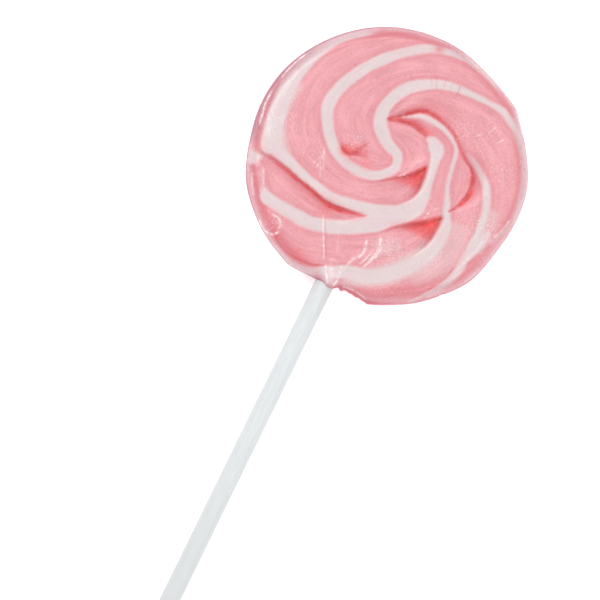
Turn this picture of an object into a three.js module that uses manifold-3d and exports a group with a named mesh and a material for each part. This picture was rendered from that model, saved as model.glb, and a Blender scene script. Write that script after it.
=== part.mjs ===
// A swirl lollipop, lying on its flat back with the shown face up.
// Millimetres, +Z up. The origin is the centre of the flat back; the stick runs along -Y.
//
// The head is one mass of pink boiled sugar, twisted and pressed into a disc. Its shown face is folded
// towards an eye beside the middle. White sugar bands lie in its skin, as inlaid strips: they swirl out
// from the eye, go over the rim and swirl in again on the back. The stick is pushed in from the rim.

import * as THREE from 'three';
import { ConvexHull } from 'three/addons/math/ConvexHull.js';
import { mergeVertices } from 'three/addons/utils/BufferGeometryUtils.js';
import Module from 'manifold-3d';

// ---------------------------------------------------------------- driving dimensions

const HEAD_RADIUS = 32;
const HEAD_THICKNESS = 11;
const RIM_HEIGHT = 5.2; // height of the widest line round the rim
const FRONT_EDGE = 3.4; // how far in from the rim the rounding of the front starts
const BACK_EDGE = 3; // the same on the back
const FACE_FALL = 0.8; // how much lower the face is at the rim than in the middle
const FLAT_BOTTOM = 30.3; // distance from the centre to the flattened stretch round the stick
const FLAT_REACH = 0.7; // the flattened stretch spans the directions with a sine below minus this

const EYE = { x: 3, y: 6, depth: 1.1, reach: 9 }; // the hollow that the folds run into

const STICK_DIAMETER = 4.5;
const STICK_LENGTH = 150;
const STICK_BEVEL = 0.4;
const STICK_X = -1;
const STICK_HEIGHT = 5;
const STICK_INNER_END = 5; // y of the end inside the head

const COLLAR = { x: -0.6, y: -28.4, rise: 0.9, across: 1.7, along: 2.4 }; // sugar raised over the stick

const GAP = 0.3; // clearance between pieces that lie in each other
const BAND_DEPTH = 1.2; // thickness of a white band
const BAND_SINK = 0.08; // how far a white band lies below the pink skin

// Swells and flats of the rim, as [direction in degrees, half width in degrees, rise in mm].
const RIM_SWELLS = [
  [16, 13, 0.52],
  [50, 5, 0.45],
  [70, 13, -0.62],
  [95, 14, -0.28],
  [165, 20, 0.33],
  [193, 8, -0.12],
  [213, 10, 0.34],
  [245, 8, -0.25],
  [269.5, 2.6, 0.55],
  [279, 3.5, -0.4],
  [298, 9, -0.25],
  [331, 9, 0.48],
  [349, 7, -0.2],
];

// Folds of the shown face. Each is a groove with a steep wall on one side and a long slope on the other.
// Its route is one or more smooth stretches of [x, y, depth], which meet in a sharp corner. slope is +1
// where the long slope lies to the left of the route, and width is how far that slope reaches.
const FOLDS = [
  {
    slope: 1,
    width: 5,
    stretches: [[
      [-4.6, 10, 1.9], [-1, 12.5, 1.6], [2, 14.8, 1.7], [6, 14.6, 1.3], [10, 13.3, 0.8],
      [14.5, 9.5, 0.9], [18, 7.2, 1.7], [19.3, 3.2, 1.9], [18.6, -0.4, 1.1], [17.4, -3, 0.1],
    ]],
  },
  {
    slope: 1,
    width: 2.6,
    stretches: [[[-4.6, 10, 1.9], [-2, 10.4, 1.8], [1, 10.8, 2], [3.6, 10.3, 1.6], [6, 9.4, 0]]],
  },
  {
    slope: 1,
    width: 3.5,
    stretches: [[
      [-12.2, 0.2, 0], [-10.6, -1.1, 1.2], [-9, -1.5, 1.4], [-7.2, -0.5, 1.1], [-4, 0.2, 0],
    ]],
  },
  {
    slope: -1,
    width: 5,
    stretches: [
      [[-3, -5.4, 0], [0, -3.9, 0.5], [3.5, -1.3, 1.1], [6, 0.8, 1.9], [8, 3.2, 2.4]],
      [[8, 3.2, 2.4], [8.5, 1, 2.1], [8.7, -1.5, 1.4], [8, -4.4, 0.5], [6.2, -6.8, 0]],
    ],
  },
  {
    slope: -1,
    width: 4.2,
    stretches: [[
      [-31, -10.2, 0.4], [-26, -9.8, 0.8], [-20, -10.7, 1.2], [-14, -12.4, 1.6], [-8, -13.5, 1.8],
      [-3, -13, 1.2], [1.3, -12.1, 0.1],
    ]],
  },
  {
    slope: -1,
    width: 5,
    stretches: [
      [[5.6, -14, 0.2], [8.3, -11.4, 0.9], [11, -9.5, 1.6], [14.3, -7, 2.1], [16.2, -5.4, 2.4]],
      [[16.2, -5.4, 2.4], [16.1, -8, 2], [15.9, -11, 1.3], [14.6, -15, 0.3], [13.4, -17.5, 0]],
    ],
  },
];
const STEEP_WIDTH = 0.6; // width of the steep wall of a fold
const LIP_RISE = 0.14; // rise of the rounded lip behind the steep wall, as a part of the fold's depth
const LIP_DISTANCE = 1.5;
const LIP_REACH = 0.9;
const FOLD_TAPER = 0.22; // share of a fold's length over which its long slope widens from either end

// The white bands. Each is one route over the shown face, or several that grow together, as [x, y, width].
// startOver and endOver are a route's width where it goes over the rim, to swirl in again on the back.
const BANDS = [
  {
    name: 'white_band_hooked',
    routes: [{
      startOver: 2.4,
      endOver: 2.2,
      face: [
        [31.6, 6.2, 1.7], [30.2, 11.6, 1.9], [26, 17.8, 2], [20.5, 21.3, 2], [14, 22.8, 2], [6, 22.5, 2.3],
        [0, 20.4, 2.5], [-4.2, 17, 2.8], [-6.2, 12, 3], [-5.5, 7.8, 3.2], [-2.3, 4.7, 2.8],
        [1.1, 3.1, 2.1], [1.7, 0.1, 2], [-1.2, -3.1, 2.1], [-6, -4, 2.1], [-11.2, -2.5, 2.3],
        [-15.6, 1.6, 2.7], [-18, 7, 2.9], [-16.5, 13.2, 2.7], [-12.4, 20, 2.5], [-7, 25.3, 2.2],
        [-1.5, 28.6, 2], [5, 29.6, 2], [12.5, 28.9, 1.7],
      ],
    }],
  },
  {
    name: 'white_band_forked',
    routes: [{
      endOver: 2.6,
      face: [
        [6, 9.5, 1.4], [7, 9.2, 2.8], [8.6, 7.8, 3.4], [9.3, 5.2, 2], [9.8, 1.5, 2.1],
        [10.3, -2, 2.9], [9.8, -5.6, 4], [7.6, -8.7, 4.5], [4, -10.3, 4.2], [-1, -11.2, 2.7],
        [-8, -12.1, 2.2], [-14, -11, 2.2], [-20, -9.1, 2.4], [-24.8, -7.2, 3], [-27, -2.5, 3.4],
        [-28, 4, 3.5], [-27.2, 12, 3.5], [-23.6, 19.8, 3.3], [-17.5, 25.6, 3], [-10, 29.9, 2.6],
      ],
    }, {
      endOver: 2.2,
      face: [
        [6.4, -9.8, 2.6], [3.9, -12.3, 4], [0.6, -15, 3.3], [-4.4, -17.7, 3], [-10.5, -19.4, 3],
        [-17, -19, 3], [-21.7, -18.2, 2.4], [-24.6, -14.8, 1], [-27, -12.3, 1.3], [-30, -11.6, 1.9],
      ],
    }],
  },
  {
    name: 'white_band_long',
    routes: [{
      endOver: 2,
      face: [
        [-1.6, 11.7, 0.8], [1.2, 13.2, 1.7], [5, 13.5, 1.4], [9, 12.6, 1], [12.3, 10.4, 0.9],
        [13.4, 6.2, 0.9], [14.5, 1.5, 0.9], [16.3, -2.6, 1.6], [17.9, -6.6, 3], [17.8, -11, 3],
        [15.8, -16.2, 3], [11.5, -21.5, 3], [6, -24.8, 3], [0.5, -26.6, 2.6], [-4.5, -28.7, 1.9],
        [-11, -29.4, 1.8],
      ],
    }],
  },
  {
    name: 'white_band_outer',
    routes: [{
      endOver: 1.6,
      face: [
        [15.4, 10.2, 0.7], [19, 8.2, 1.4], [22.4, 5.2, 1.6], [24.5, 0.6, 1.8], [25.3, -5, 2],
        [25.2, -10.6, 1.9], [23.6, -17.4, 1.4], [20.2, -23.2, 1.2], [15.8, -27.4, 1.4],
      ],
    }],
  },
];

// On the back each band turns in towards the centre, through turn degrees. It crosses the rim over
// OVER_TURN degrees, and its part on the back starts a share of the way round the rounded edge.
const BACK_SWIRL = { turn: 105, innerRadius: 8, innerWidth: 1, steps: 8, startShare: 0.35 };
const OVER_TURN = 20;

const PINK = { color: new THREE.Color('#f0aab4'), roughness: 0.3 };
const WHITE = { color: new THREE.Color('#ecdcde'), roughness: 0.35 };
const STICK_WHITE = { color: new THREE.Color('#eeeff1'), roughness: 0.45 };

// ---------------------------------------------------------------- mesh fineness

const RIM_STEP = 4; // degrees between rim points, halved beside the stick
const STICK_SIDE = { from: 250, to: 290 }; // the directions beside the stick
const FRONT_RINGS = [0.14, 0.46, 0.76, 1]; // shares of the rounded front edge that have a ring of points
const BACK_RINGS = [0, 0.35, 0.7, 1];
const FACE_STEP = 2.4; // between points on the plain face
const FACE_MARGIN = 1.4; // between those points and the rounded edge
const BACK_STEP = 6.5;
const BACK_MARGIN = 2;
const GRID_SHARE = 0.62; // share of a step that grid points keep from the points of a fold
const FOLD_STEP = 1.2; // between points along a fold
const FOLD_SHARES = [0.25, 0.6]; // shares of the long slope that have a row of points
const FOLD_SPACING = 0.45; // least distance between points of the folds
const FOLD_MARGIN = 1.2; // between them and the rounded edge
const BAND_STEP = 2; // between sections of a band on the face
const BAND_BACK_STEP = 2.8; // and on the back
const BAND_TOP_SHARES = [-1, -0.4, 0.4, 1]; // shares of a section's half width that have a top corner
const BED_HEADROOM = 3.5; // how far a bed is cut above the skin
const FOLD_FINE_STEP = 0.5; // between the points that distances to a fold are measured to
const BAND_FINE_STEP = 0.2; // between the points that sections of a band are picked from
const ROD_SIDES = 28;
const MERGE_DISTANCE = 1e-4;
const TINY = 1e-6;

// ---------------------------------------------------------------- small helpers

const radians = THREE.MathUtils.degToRad;

function bell(distance, reach) {
  return Math.exp(-((distance / reach) ** 2));
}

// Evenly spaced points of the smooth curve through [x, y, value] points.
function spaced(points, step) {
  const route = points.map(([x, y, value]) => new THREE.Vector3(x, y, value));
  const curve = new THREE.CatmullRomCurve3(route, false, 'catmullrom', 0.5);
  return curve.getSpacedPoints(Math.max(4, Math.round(curve.getLength() / step)));
}

// ---------------------------------------------------------------- form of the head

function rimRadius(angle) {
  let radius = HEAD_RADIUS;
  for (const [direction, reach, rise] of RIM_SWELLS) {
    const turned = THREE.MathUtils.euclideanModulo(THREE.MathUtils.radToDeg(angle) - direction + 180, 360);
    radius += rise * bell(turned - 180, reach);
  }
  const down = -Math.sin(angle);
  if (down < FLAT_REACH) {
    return radius;
  }
  const flattened = radius - HEAD_RADIUS + FLAT_BOTTOM / down;
  return Math.min(radius, flattened);
}

for (const fold of FOLDS) {
  fold.line = fold.stretches.flatMap((stretch) => spaced(stretch, FOLD_FINE_STEP));
}

// The nearest place on a fold: its distance, the side of the fold that the point is on (positive on the
// long slope), how deep the fold is there, and its share of the fold's length from the nearer end.
function nearestOnFold(fold, x, y) {
  let best = { distance: Infinity };
  const pieces = fold.line.length - 1;
  for (let i = 0; i < pieces; i += 1) {
    const a = fold.line[i];
    const b = fold.line[i + 1];
    const dx = b.x - a.x;
    const dy = b.y - a.y;
    const along = ((x - a.x) * dx + (y - a.y) * dy) / (dx * dx + dy * dy || 1);
    const t = THREE.MathUtils.clamp(along, 0, 1);
    const ex = x - a.x - t * dx;
    const ey = y - a.y - t * dy;
    const distance = Math.hypot(ex, ey);
    const side = Math.sign(dx * ey - dy * ex) * fold.slope;
    if (distance < best.distance - TINY) {
      const share = (i + t) / pieces;
      best = { distance, side, depth: a.z + t * (b.z - a.z), share: Math.min(share, 1 - share) };
    } else if (distance < best.distance + TINY) {
      best.side = Math.min(best.side, side);
    }
  }
  return best;
}

// How much the folds lower the face at a point: the deepest groove there, less the lips beside the grooves.
// Without walls, what lies on the steep side of a fold keeps its full height up to the edge.
function foldDepth(x, y, walls) {
  let groove = 0;
  let lip = 0;
  for (const fold of FOLDS) {
    const { distance, side, depth, share } = nearestOnFold(fold, x, y);
    const taper = THREE.MathUtils.smoothstep(share, 0, FOLD_TAPER);
    const reach = side > 0 ? THREE.MathUtils.lerp(STEEP_WIDTH, fold.width, taper) : STEEP_WIDTH;
    const rest = Math.max(0, 1 - distance / reach);
    if (side > 0 || walls) {
      groove = Math.max(groove, depth * rest * rest);
    }
    if (side <= 0) {
      lip = Math.max(lip, LIP_RISE * depth * bell(distance - LIP_DISTANCE, LIP_REACH));
    }
  }
  return groove - lip;
}

function faceHeight(x, y, walls) {
  const fall = FACE_FALL * (x * x + y * y) / (HEAD_RADIUS * HEAD_RADIUS);
  const hollow = EYE.depth * bell(Math.hypot(x - EYE.x, y - EYE.y), EYE.reach);
  const collar = COLLAR.rise * bell(x - COLLAR.x, COLLAR.across) * bell(y - COLLAR.y, COLLAR.along);
  return HEAD_THICKNESS - fall - hollow - foldDepth(x, y, walls) + collar;
}

// ---------------------------------------------------------------- the skin of the head
// A place on the skin is a direction from the centre and a path, the way along the skin from the middle of
// the face, over the rim and on to the middle of the back. Paths are those of a head with an even rim, and
// the swells and flats of the true rim stretch them only outside EVEN_RADIUS.

const EVEN_RADIUS = 22;
const FRONT_ARC = (Math.PI / 2) * Math.hypot(FRONT_EDGE, HEAD_THICKNESS - RIM_HEIGHT) / Math.SQRT2;
const BACK_ARC = (Math.PI / 2) * Math.hypot(BACK_EDGE, RIM_HEIGHT) / Math.SQRT2;
const BACK_RADIUS = HEAD_RADIUS - BACK_EDGE;
const FACE_PATH = HEAD_RADIUS - FRONT_EDGE; // the end of the face
const RIM_PATH = FACE_PATH + FRONT_ARC; // the widest line of the rim
const BACK_PATH = RIM_PATH + BACK_ARC; // the start of the flat back
const WHOLE_PATH = BACK_PATH + BACK_RADIUS;

// The radius there, and the tilt of the skin: 0 facing up, 90 degrees facing out, 180 degrees facing down.
function ringAt(angle, path) {
  const swell = rimRadius(angle) - HEAD_RADIUS;
  if (path <= FACE_PATH) {
    const share = Math.max(0, (path - EVEN_RADIUS) / (FACE_PATH - EVEN_RADIUS));
    return { radius: path + swell * share, tilt: 0 };
  }
  if (path <= RIM_PATH) {
    const tilt = (Math.PI / 2) * (path - FACE_PATH) / FRONT_ARC;
    return { radius: FACE_PATH + swell + FRONT_EDGE * Math.sin(tilt), tilt };
  }
  if (path <= BACK_PATH) {
    const tilt = (Math.PI / 2) * (1 + (path - RIM_PATH) / BACK_ARC);
    return { radius: BACK_RADIUS + swell + BACK_EDGE * Math.sin(tilt), tilt };
  }
  return { radius: (BACK_RADIUS + swell) * (WHOLE_PATH - path) / BACK_RADIUS, tilt: Math.PI };
}

// The point of the skin at a place, pushed in by depth, with or without the steep walls of the folds.
function skinPoint(angle, path, depth = 0, walls = false) {
  const { radius, tilt } = ringAt(angle, path);
  const x = radius * Math.cos(angle);
  const y = radius * Math.sin(angle);
  const reach = tilt <= Math.PI / 2 ? faceHeight(x, y, walls) - RIM_HEIGHT : RIM_HEIGHT;
  const out = new THREE.Vector3(Math.cos(angle), Math.sin(angle), 0).multiplyScalar(Math.sin(tilt));
  out.setZ(Math.cos(tilt));
  return new THREE.Vector3(x, y, RIM_HEIGHT + reach * Math.cos(tilt)).addScaledVector(out, -depth);
}

// The place on the front whose point has this x and y.
function placeOnFront(x, y) {
  const angle = Math.atan2(y, x);
  const radius = Math.hypot(x, y);
  const faceEnd = FACE_PATH + rimRadius(angle) - HEAD_RADIUS;
  if (radius <= EVEN_RADIUS) {
    return { angle, path: radius };
  }
  if (radius <= faceEnd) {
    const path = THREE.MathUtils.mapLinear(radius, EVEN_RADIUS, faceEnd, EVEN_RADIUS, FACE_PATH);
    return { angle, path };
  }
  const tilt = Math.asin(Math.min(1, (radius - faceEnd) / FRONT_EDGE));
  return { angle, path: FACE_PATH + FRONT_ARC * tilt / (Math.PI / 2) };
}

// ---------------------------------------------------------------- solids from vertices and triangles

const wasm = await Module();
wasm.setup();

function solidFromFaces(points, faces) {
  const geometry = new THREE.BufferGeometry();
  geometry.setFromPoints(points);
  geometry.setIndex(faces.flat());
  return solidFromGeometry(geometry);
}

function solidFromGeometry(source) {
  const geometry = source.clone();
  geometry.deleteAttribute('normal');
  geometry.deleteAttribute('uv');
  const merged = mergeVertices(geometry, MERGE_DISTANCE);
  return new wasm.Manifold(new wasm.Mesh({
    numProp: 3,
    vertProperties: new Float32Array(merged.attributes.position.array),
    triVerts: new Uint32Array(merged.index.array),
  }));
}

function meshFromSolid(name, solid, { color, roughness }) {
  const { vertProperties, triVerts } = solid.getMesh();
  const geometry = new THREE.BufferGeometry();
  geometry.setAttribute('position', new THREE.BufferAttribute(vertProperties, 3));
  geometry.setIndex(new THREE.BufferAttribute(triVerts, 1));
  geometry.computeVertexNormals();
  const material = new THREE.MeshStandardMaterial({ color, roughness, metalness: 0 });
  const mesh = new THREE.Mesh(geometry, material);
  mesh.name = name;
  return mesh;
}

// ---------------------------------------------------------------- the pressed disc

// Triangles over scattered places in a disc: the lower hull of the places lifted onto a bowl.
function triangulate(places) {
  const lifted = places.map(({ u, v }) => new THREE.Vector3(u, v, u * u + v * v));
  const order = new Map(lifted.map((point, index) => [point, index]));
  const hull = new ConvexHull().setFromPoints(lifted);
  const faces = [];
  for (const face of hull.faces) {
    if (face.normal.z < -TINY) {
      const corners = [face.edge, face.edge.next, face.edge.prev];
      faces.push(corners.map((edge) => order.get(edge.head().point)));
    }
  }
  return faces;
}

function farFromAll(points, x, y, spacing) {
  return points.every((p) => Math.hypot(p.x - x, p.y - y) > spacing);
}

// Points along each fold: on its line, at the top of its steep wall, and down its long slope.
function foldPoints() {
  const found = [];
  for (const fold of FOLDS) {
    const line = fold.stretches.flatMap((stretch) => spaced(stretch, FOLD_STEP));
    for (const offset of [0, -STEEP_WIDTH, ...FOLD_SHARES.map((share) => share * fold.width)]) {
      line.forEach((point, index) => {
        const before = line[Math.max(0, index - 1)];
        const after = line[Math.min(line.length - 1, index + 1)];
        const side = new THREE.Vector2(before.y - after.y, after.x - before.x).normalize();
        const x = point.x + side.x * offset * fold.slope;
        const y = point.y + side.y * offset * fold.slope;
        if (Math.hypot(x, y) < FACE_PATH - FOLD_MARGIN && farFromAll(found, x, y, FOLD_SPACING)) {
          found.push({ x, y });
        }
      });
    }
  }
  return found;
}

// Points of an even triangular grid inside a radius, a little apart from those already there.
function gridPoints(step, radius, taken) {
  const found = [...taken];
  const rowHeight = step * Math.sqrt(0.75);
  const rows = Math.ceil(radius / rowHeight);
  for (let row = -rows; row <= rows; row += 1) {
    for (let column = -rows - 1; column <= rows + 1; column += 1) {
      const x = (column + (row % 2 ? 0.5 : 0)) * step;
      const y = row * rowHeight;
      if (Math.hypot(x, y) < radius && farFromAll(taken, x, y, GRID_SHARE * step)) {
        found.push({ x, y });
      }
    }
  }
  return found;
}

function rimAngles() {
  const angles = [];
  for (let degrees = 0; degrees < 360; degrees += RIM_STEP) {
    angles.push(radians(degrees));
    if (degrees > STICK_SIDE.from && degrees < STICK_SIDE.to) {
      angles.push(radians(degrees + RIM_STEP / 2));
    }
  }
  return angles;
}

// The front of the disc, as places with their reach from its middle, out to the widest line of the rim.
function frontPlaces() {
  const placeAt = (angle, path) => ({ angle, path, reach: path / RIM_PATH });
  const face = gridPoints(FACE_STEP, FACE_PATH - FACE_MARGIN, foldPoints());
  const edge = FRONT_RINGS.flatMap((share) => {
    return rimAngles().map((angle) => placeAt(angle, FACE_PATH + share * FRONT_ARC));
  });
  return [...face.map(({ x, y }) => placeAt(Math.atan2(y, x), Math.hypot(x, y))), ...edge];
}

// The back of the disc, in the same way.
function backPlaces() {
  const placeAt = (angle, inward) => {
    return { angle, path: WHOLE_PATH - inward, reach: inward / (WHOLE_PATH - RIM_PATH) };
  };
  const flat = gridPoints(BACK_STEP, BACK_RADIUS - BACK_MARGIN, []);
  const edge = BACK_RINGS.flatMap((share) => {
    return rimAngles().map((angle) => placeAt(angle, BACK_RADIUS + share * BACK_ARC));
  });
  return [...flat.map(({ x, y }) => placeAt(Math.atan2(y, x), Math.hypot(x, y))), ...edge];
}

function headSolid() {
  const points = [];
  const faces = [];
  for (const places of [frontPlaces(), backPlaces()]) {
    const first = points.length;
    const facesUp = first === 0;
    const disc = places.map(({ angle, reach }) => {
      return { u: reach * Math.cos(angle), v: reach * Math.sin(angle) };
    });
    places.forEach(({ angle, path }) => points.push(skinPoint(angle, path, 0, true)));
    triangulate(disc).forEach(([a, b, c]) => {
      faces.push(facesUp ? [first + c, first + b, first + a] : [first + a, first + b, first + c]);
    });
  }
  return solidFromFaces(points, faces);
}

// ---------------------------------------------------------------- the white bands

// A route point [x, y, width] of the face as a point of the unrolled skin, with its width.
function unrolled([x, y, width]) {
  const { angle, path } = placeOnFront(x, y);
  return [path * Math.cos(angle), path * Math.sin(angle), width];
}

// The part of a band from the rim towards the middle of the back, turning clockwise as it goes in.
function backRoute(angle, width) {
  const { turn, innerRadius, innerWidth, steps, startShare } = BACK_SWIRL;
  const firstPath = RIM_PATH + startShare * BACK_ARC;
  const route = [];
  for (let i = 0; i <= steps; i += 1) {
    const share = i / steps;
    const turned = angle - radians(turn) * share;
    const path = THREE.MathUtils.lerp(firstPath, WHOLE_PATH - innerRadius, share);
    const widthHere = THREE.MathUtils.lerp(width, innerWidth, share);
    route.push([path * Math.cos(turned), path * Math.sin(turned), widthHere]);
  }
  return route;
}

// The direction in which a route that ends at end, coming from inner, reaches the back.
function directionOver(end, inner) {
  const direction = Math.atan2(end[1], end[0]);
  const change = direction - Math.atan2(inner[1], inner[0]);
  const turned = THREE.MathUtils.euclideanModulo(change + Math.PI, 2 * Math.PI) - Math.PI;
  return direction + radians(OVER_TURN) * Math.sign(turned);
}

// The whole route of a band over the unrolled skin, with its parts on the back.
function wholeRoute({ face, startOver, endOver }) {
  const front = face.map(unrolled);
  const [first, second] = front;
  const [beforeLast, last] = front.slice(-2);
  const before = startOver ? backRoute(directionOver(first, second), startOver).reverse() : [];
  const after = endOver ? backRoute(directionOver(last, beforeLast), endOver) : [];
  return [...before, ...front, ...after];
}

// The place forward mm along a route and left mm beside it, from a point of the unrolled skin where the
// route runs in the direction along. Lengths are true lengths on the skin.
function placeNear(point, along, forward, left) {
  const path = Math.hypot(point.x, point.y);
  const { radius, tilt } = ringOf(point);
  if (tilt === 0) {
    const x = point.x + along.x * forward - along.y * left;
    const y = point.y + along.y * forward + along.x * left;
    return { angle: Math.atan2(y, x), path: Math.hypot(x, y) };
  }
  const squeeze = radius / path;
  const outward = (along.x * point.x + along.y * point.y) / path;
  const round = ((along.y * point.x - along.x * point.y) / path) * squeeze;
  const length = Math.hypot(outward, round);
  const moveOut = (outward * forward - round * left) / length;
  const moveRound = (round * forward + outward * left) / length;
  return { angle: Math.atan2(point.y, point.x) + moveRound / radius, path: path + moveOut };
}

// Sections along a route of the unrolled skin. section(width, beside) gives the corners of one, where
// beside(left) is the place left mm beside the route. The first and last lie longer mm past its ends.
function sectionsAlong(route, section, longer = 0) {
  const stations = stationsAlong(route);
  return stations.map(({ point, along }, index) => {
    const past = (index === stations.length - 1) - (index === 0);
    return section(point.z, (left) => placeNear(point, along, past * longer, left));
  });
}

function ringOf(point) {
  return ringAt(Math.atan2(point.y, point.x), Math.hypot(point.x, point.y));
}

// Points of a route at even distances over the skin, closer together on the face than on the back, each
// with the direction of the route there.
function stationsAlong(route) {
  const fine = spaced(route, BAND_FINE_STEP);
  const last = fine.length - 1;
  const onSkin = fine.map((point) => skinPoint(Math.atan2(point.y, point.x), Math.hypot(point.x, point.y)));
  const kept = [0];
  let walked = 0;
  for (let i = 1; i < last; i += 1) {
    walked += onSkin[i].distanceTo(onSkin[i - 1]);
    const step = ringOf(fine[i]).tilt < Math.PI / 2 ? BAND_STEP : BAND_BACK_STEP;
    if (walked > step && onSkin[i].distanceTo(onSkin[last]) > 0.5 * step) {
      kept.push(i);
      walked = 0;
    }
  }
  kept.push(last);
  return kept.map((i) => {
    const along = fine[Math.min(last, i + 1)].clone().sub(fine[Math.max(0, i - 1)]);
    return { point: fine[i], along: along.setZ(0).normalize() };
  });
}

// The closed solid through a row of sections with the same number of corners.
function loft(sections) {
  const corners = sections[0].length;
  const points = sections.flat();
  const faces = [];
  for (let s = 1; s < sections.length; s += 1) {
    for (let c = 0; c < corners; c += 1) {
      const here = (s - 1) * corners + c;
      const beside = (s - 1) * corners + ((c + 1) % corners);
      faces.push([here, here + corners, beside], [beside, here + corners, beside + corners]);
    }
  }
  const last = (sections.length - 1) * corners;
  for (let c = 2; c < corners; c += 1) {
    faces.push([0, c - 1, c], [last, last + c, last + c - 1]);
  }
  return solidFromFaces(points, faces);
}

// Skin point at the left or right edge of a band, and the outward direction there.
function edgeOf(beside, offset) {
  const place = beside(offset);
  const edge = skinPoint(place.angle, place.path);
  const out = edge.clone().sub(skinPoint(place.angle, place.path, 1));
  return { edge, out };
}

// Floor corner of a band or its bed: on the straight line between the band's two edges, pushed in by depth.
function floorPoint(left, right, halfWidth, offset, depth) {
  const share = (halfWidth - offset) / (2 * halfWidth);
  const out = left.out.clone().lerp(right.out, share);
  return left.edge.clone().lerp(right.edge, share).addScaledVector(out, -depth);
}

function bandSolid(route, sink) {
  return loft(sectionsAlong(route, (width, beside) => {
    const half = width / 2;
    const left = edgeOf(beside, half);
    const right = edgeOf(beside, -half);
    const top = BAND_TOP_SHARES.map((share) => {
      const place = beside(share * half);
      return skinPoint(place.angle, place.path, sink);
    });
    return [
      ...top,
      floorPoint(left, right, half, half, BAND_DEPTH),
      floorPoint(left, right, half, -half, BAND_DEPTH),
    ];
  }));
}

// What is cut out of the pink for a band: wider and deeper by the gap, and open above.
function bedSolid(route) {
  return loft(sectionsAlong(route, (width, beside) => {
    const half = width / 2;
    const left = edgeOf(beside, half);
    const right = edgeOf(beside, -half);
    return [
      floorPoint(left, right, half, -half - GAP, -BED_HEADROOM),
      floorPoint(left, right, half, half + GAP, -BED_HEADROOM),
      floorPoint(left, right, half, half + GAP, BAND_DEPTH + GAP),
      floorPoint(left, right, half, -half - GAP, BAND_DEPTH + GAP),
    ];
  }, GAP));
}

// ---------------------------------------------------------------- the stick

function rodSolid(radius, bevel, innerEnd, length) {
  const profile = [
    new THREE.Vector2(0, 0),
    new THREE.Vector2(radius - bevel, 0),
    new THREE.Vector2(radius, bevel),
    new THREE.Vector2(radius, length - bevel),
    new THREE.Vector2(radius - bevel, length),
    new THREE.Vector2(0, length),
  ];
  const rod = new THREE.LatheGeometry(profile, ROD_SIDES);
  rod.translate(0, innerEnd - length, 0);
  rod.translate(STICK_X, 0, STICK_HEIGHT);
  return solidFromGeometry(rod);
}

// ---------------------------------------------------------------- the lollipop

const lollipop = new THREE.Group();
let pink = headSolid();

for (const band of BANDS) {
  const routes = band.routes.map(wholeRoute);
  const strips = routes.map((route, index) => bandSolid(route, (index + 1) * BAND_SINK));
  routes.forEach((route) => {
    pink = pink.subtract(bedSolid(route));
  });
  const solid = strips.reduce((joined, strip) => joined.add(strip));
  lollipop.add(meshFromSolid(band.name, solid, WHITE));
}

const socket = rodSolid(STICK_DIAMETER / 2 + GAP, STICK_BEVEL, STICK_INNER_END + GAP, STICK_LENGTH);
pink = pink.subtract(socket);
lollipop.add(meshFromSolid('pink_candy', pink, PINK));

const stick = rodSolid(STICK_DIAMETER / 2, STICK_BEVEL, STICK_INNER_END, STICK_LENGTH);
lollipop.add(meshFromSolid('stick', stick, STICK_WHITE));

export default lollipop;
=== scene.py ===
"""A pink and white swirl lollipop lying on its flat back. Sizes are in millimetres until a mesh is made."""
import math

import bpy
import numpy as np
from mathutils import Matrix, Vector, kdtree


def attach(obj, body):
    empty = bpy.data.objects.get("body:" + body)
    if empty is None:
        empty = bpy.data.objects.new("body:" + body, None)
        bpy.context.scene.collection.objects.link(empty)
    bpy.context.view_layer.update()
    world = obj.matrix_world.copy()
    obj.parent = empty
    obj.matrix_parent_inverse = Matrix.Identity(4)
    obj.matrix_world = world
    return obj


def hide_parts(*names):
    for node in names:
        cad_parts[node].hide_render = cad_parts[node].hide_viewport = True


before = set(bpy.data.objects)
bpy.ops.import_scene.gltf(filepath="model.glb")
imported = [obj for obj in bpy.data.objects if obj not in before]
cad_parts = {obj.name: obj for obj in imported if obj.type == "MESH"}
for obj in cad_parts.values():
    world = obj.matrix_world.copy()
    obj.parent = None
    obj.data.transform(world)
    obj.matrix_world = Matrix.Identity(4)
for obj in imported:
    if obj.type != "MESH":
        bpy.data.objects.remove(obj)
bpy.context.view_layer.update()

MM = 0.001

# ---------------- driving dimensions
# They are the CAD's, but for FLAT_REACH, FLAT_ROUNDING, the collar's rise, STEEP_WIDTH, STEEP_TAPER, LIP_RISE
# and a few depths and tips of folds, which are set for the look.

HEAD_RADIUS = 32.0
HEAD_THICKNESS = 11.0
RIM_HEIGHT = 5.2  # height of the widest line round the rim
FRONT_EDGE = 3.4  # how far in the rounding of the front starts
BACK_EDGE = 3.0  # the same on the back
FACE_FALL = 0.8  # how much lower the face is at the rim
FLAT_BOTTOM = 30.3  # distance of the flattened stretch round the stick
FLAT_REACH = 0.55  # it spans the directions with a sine below minus this
FLAT_ROUNDING = 0.25  # softness of its two corners
EYE = {"x": 3.0, "y": 6.0, "depth": 1.1, "reach": 9.0}  # the hollow that the folds run into
STICK_RADIUS = 2.25
STICK_LENGTH = 150.0
STICK_BEVEL = 0.4
STICK_X = -1.0
STICK_HEIGHT = 5.0
STICK_INNER_END = 5.0  # y of the end inside the head
COLLAR = {"x": -0.6, "y": -28.4, "rise": 0.75, "across": 1.7, "along": 2.4}  # sugar over the stick

# Swells and flats of the rim: direction in degrees, half width in degrees and rise.
RIM_SWELLS = [
    (16, 13, 0.52), (50, 5, 0.45), (70, 13, -0.62), (95, 14, -0.28), (165, 20, 0.33), (193, 8, -0.12),
    (213, 10, 0.34), (245, 8, -0.25), (269.5, 2.6, 0.55), (279, 3.5, -0.4), (298, 9, -0.25),
    (331, 9, 0.48), (349, 7, -0.2),
]

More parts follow.
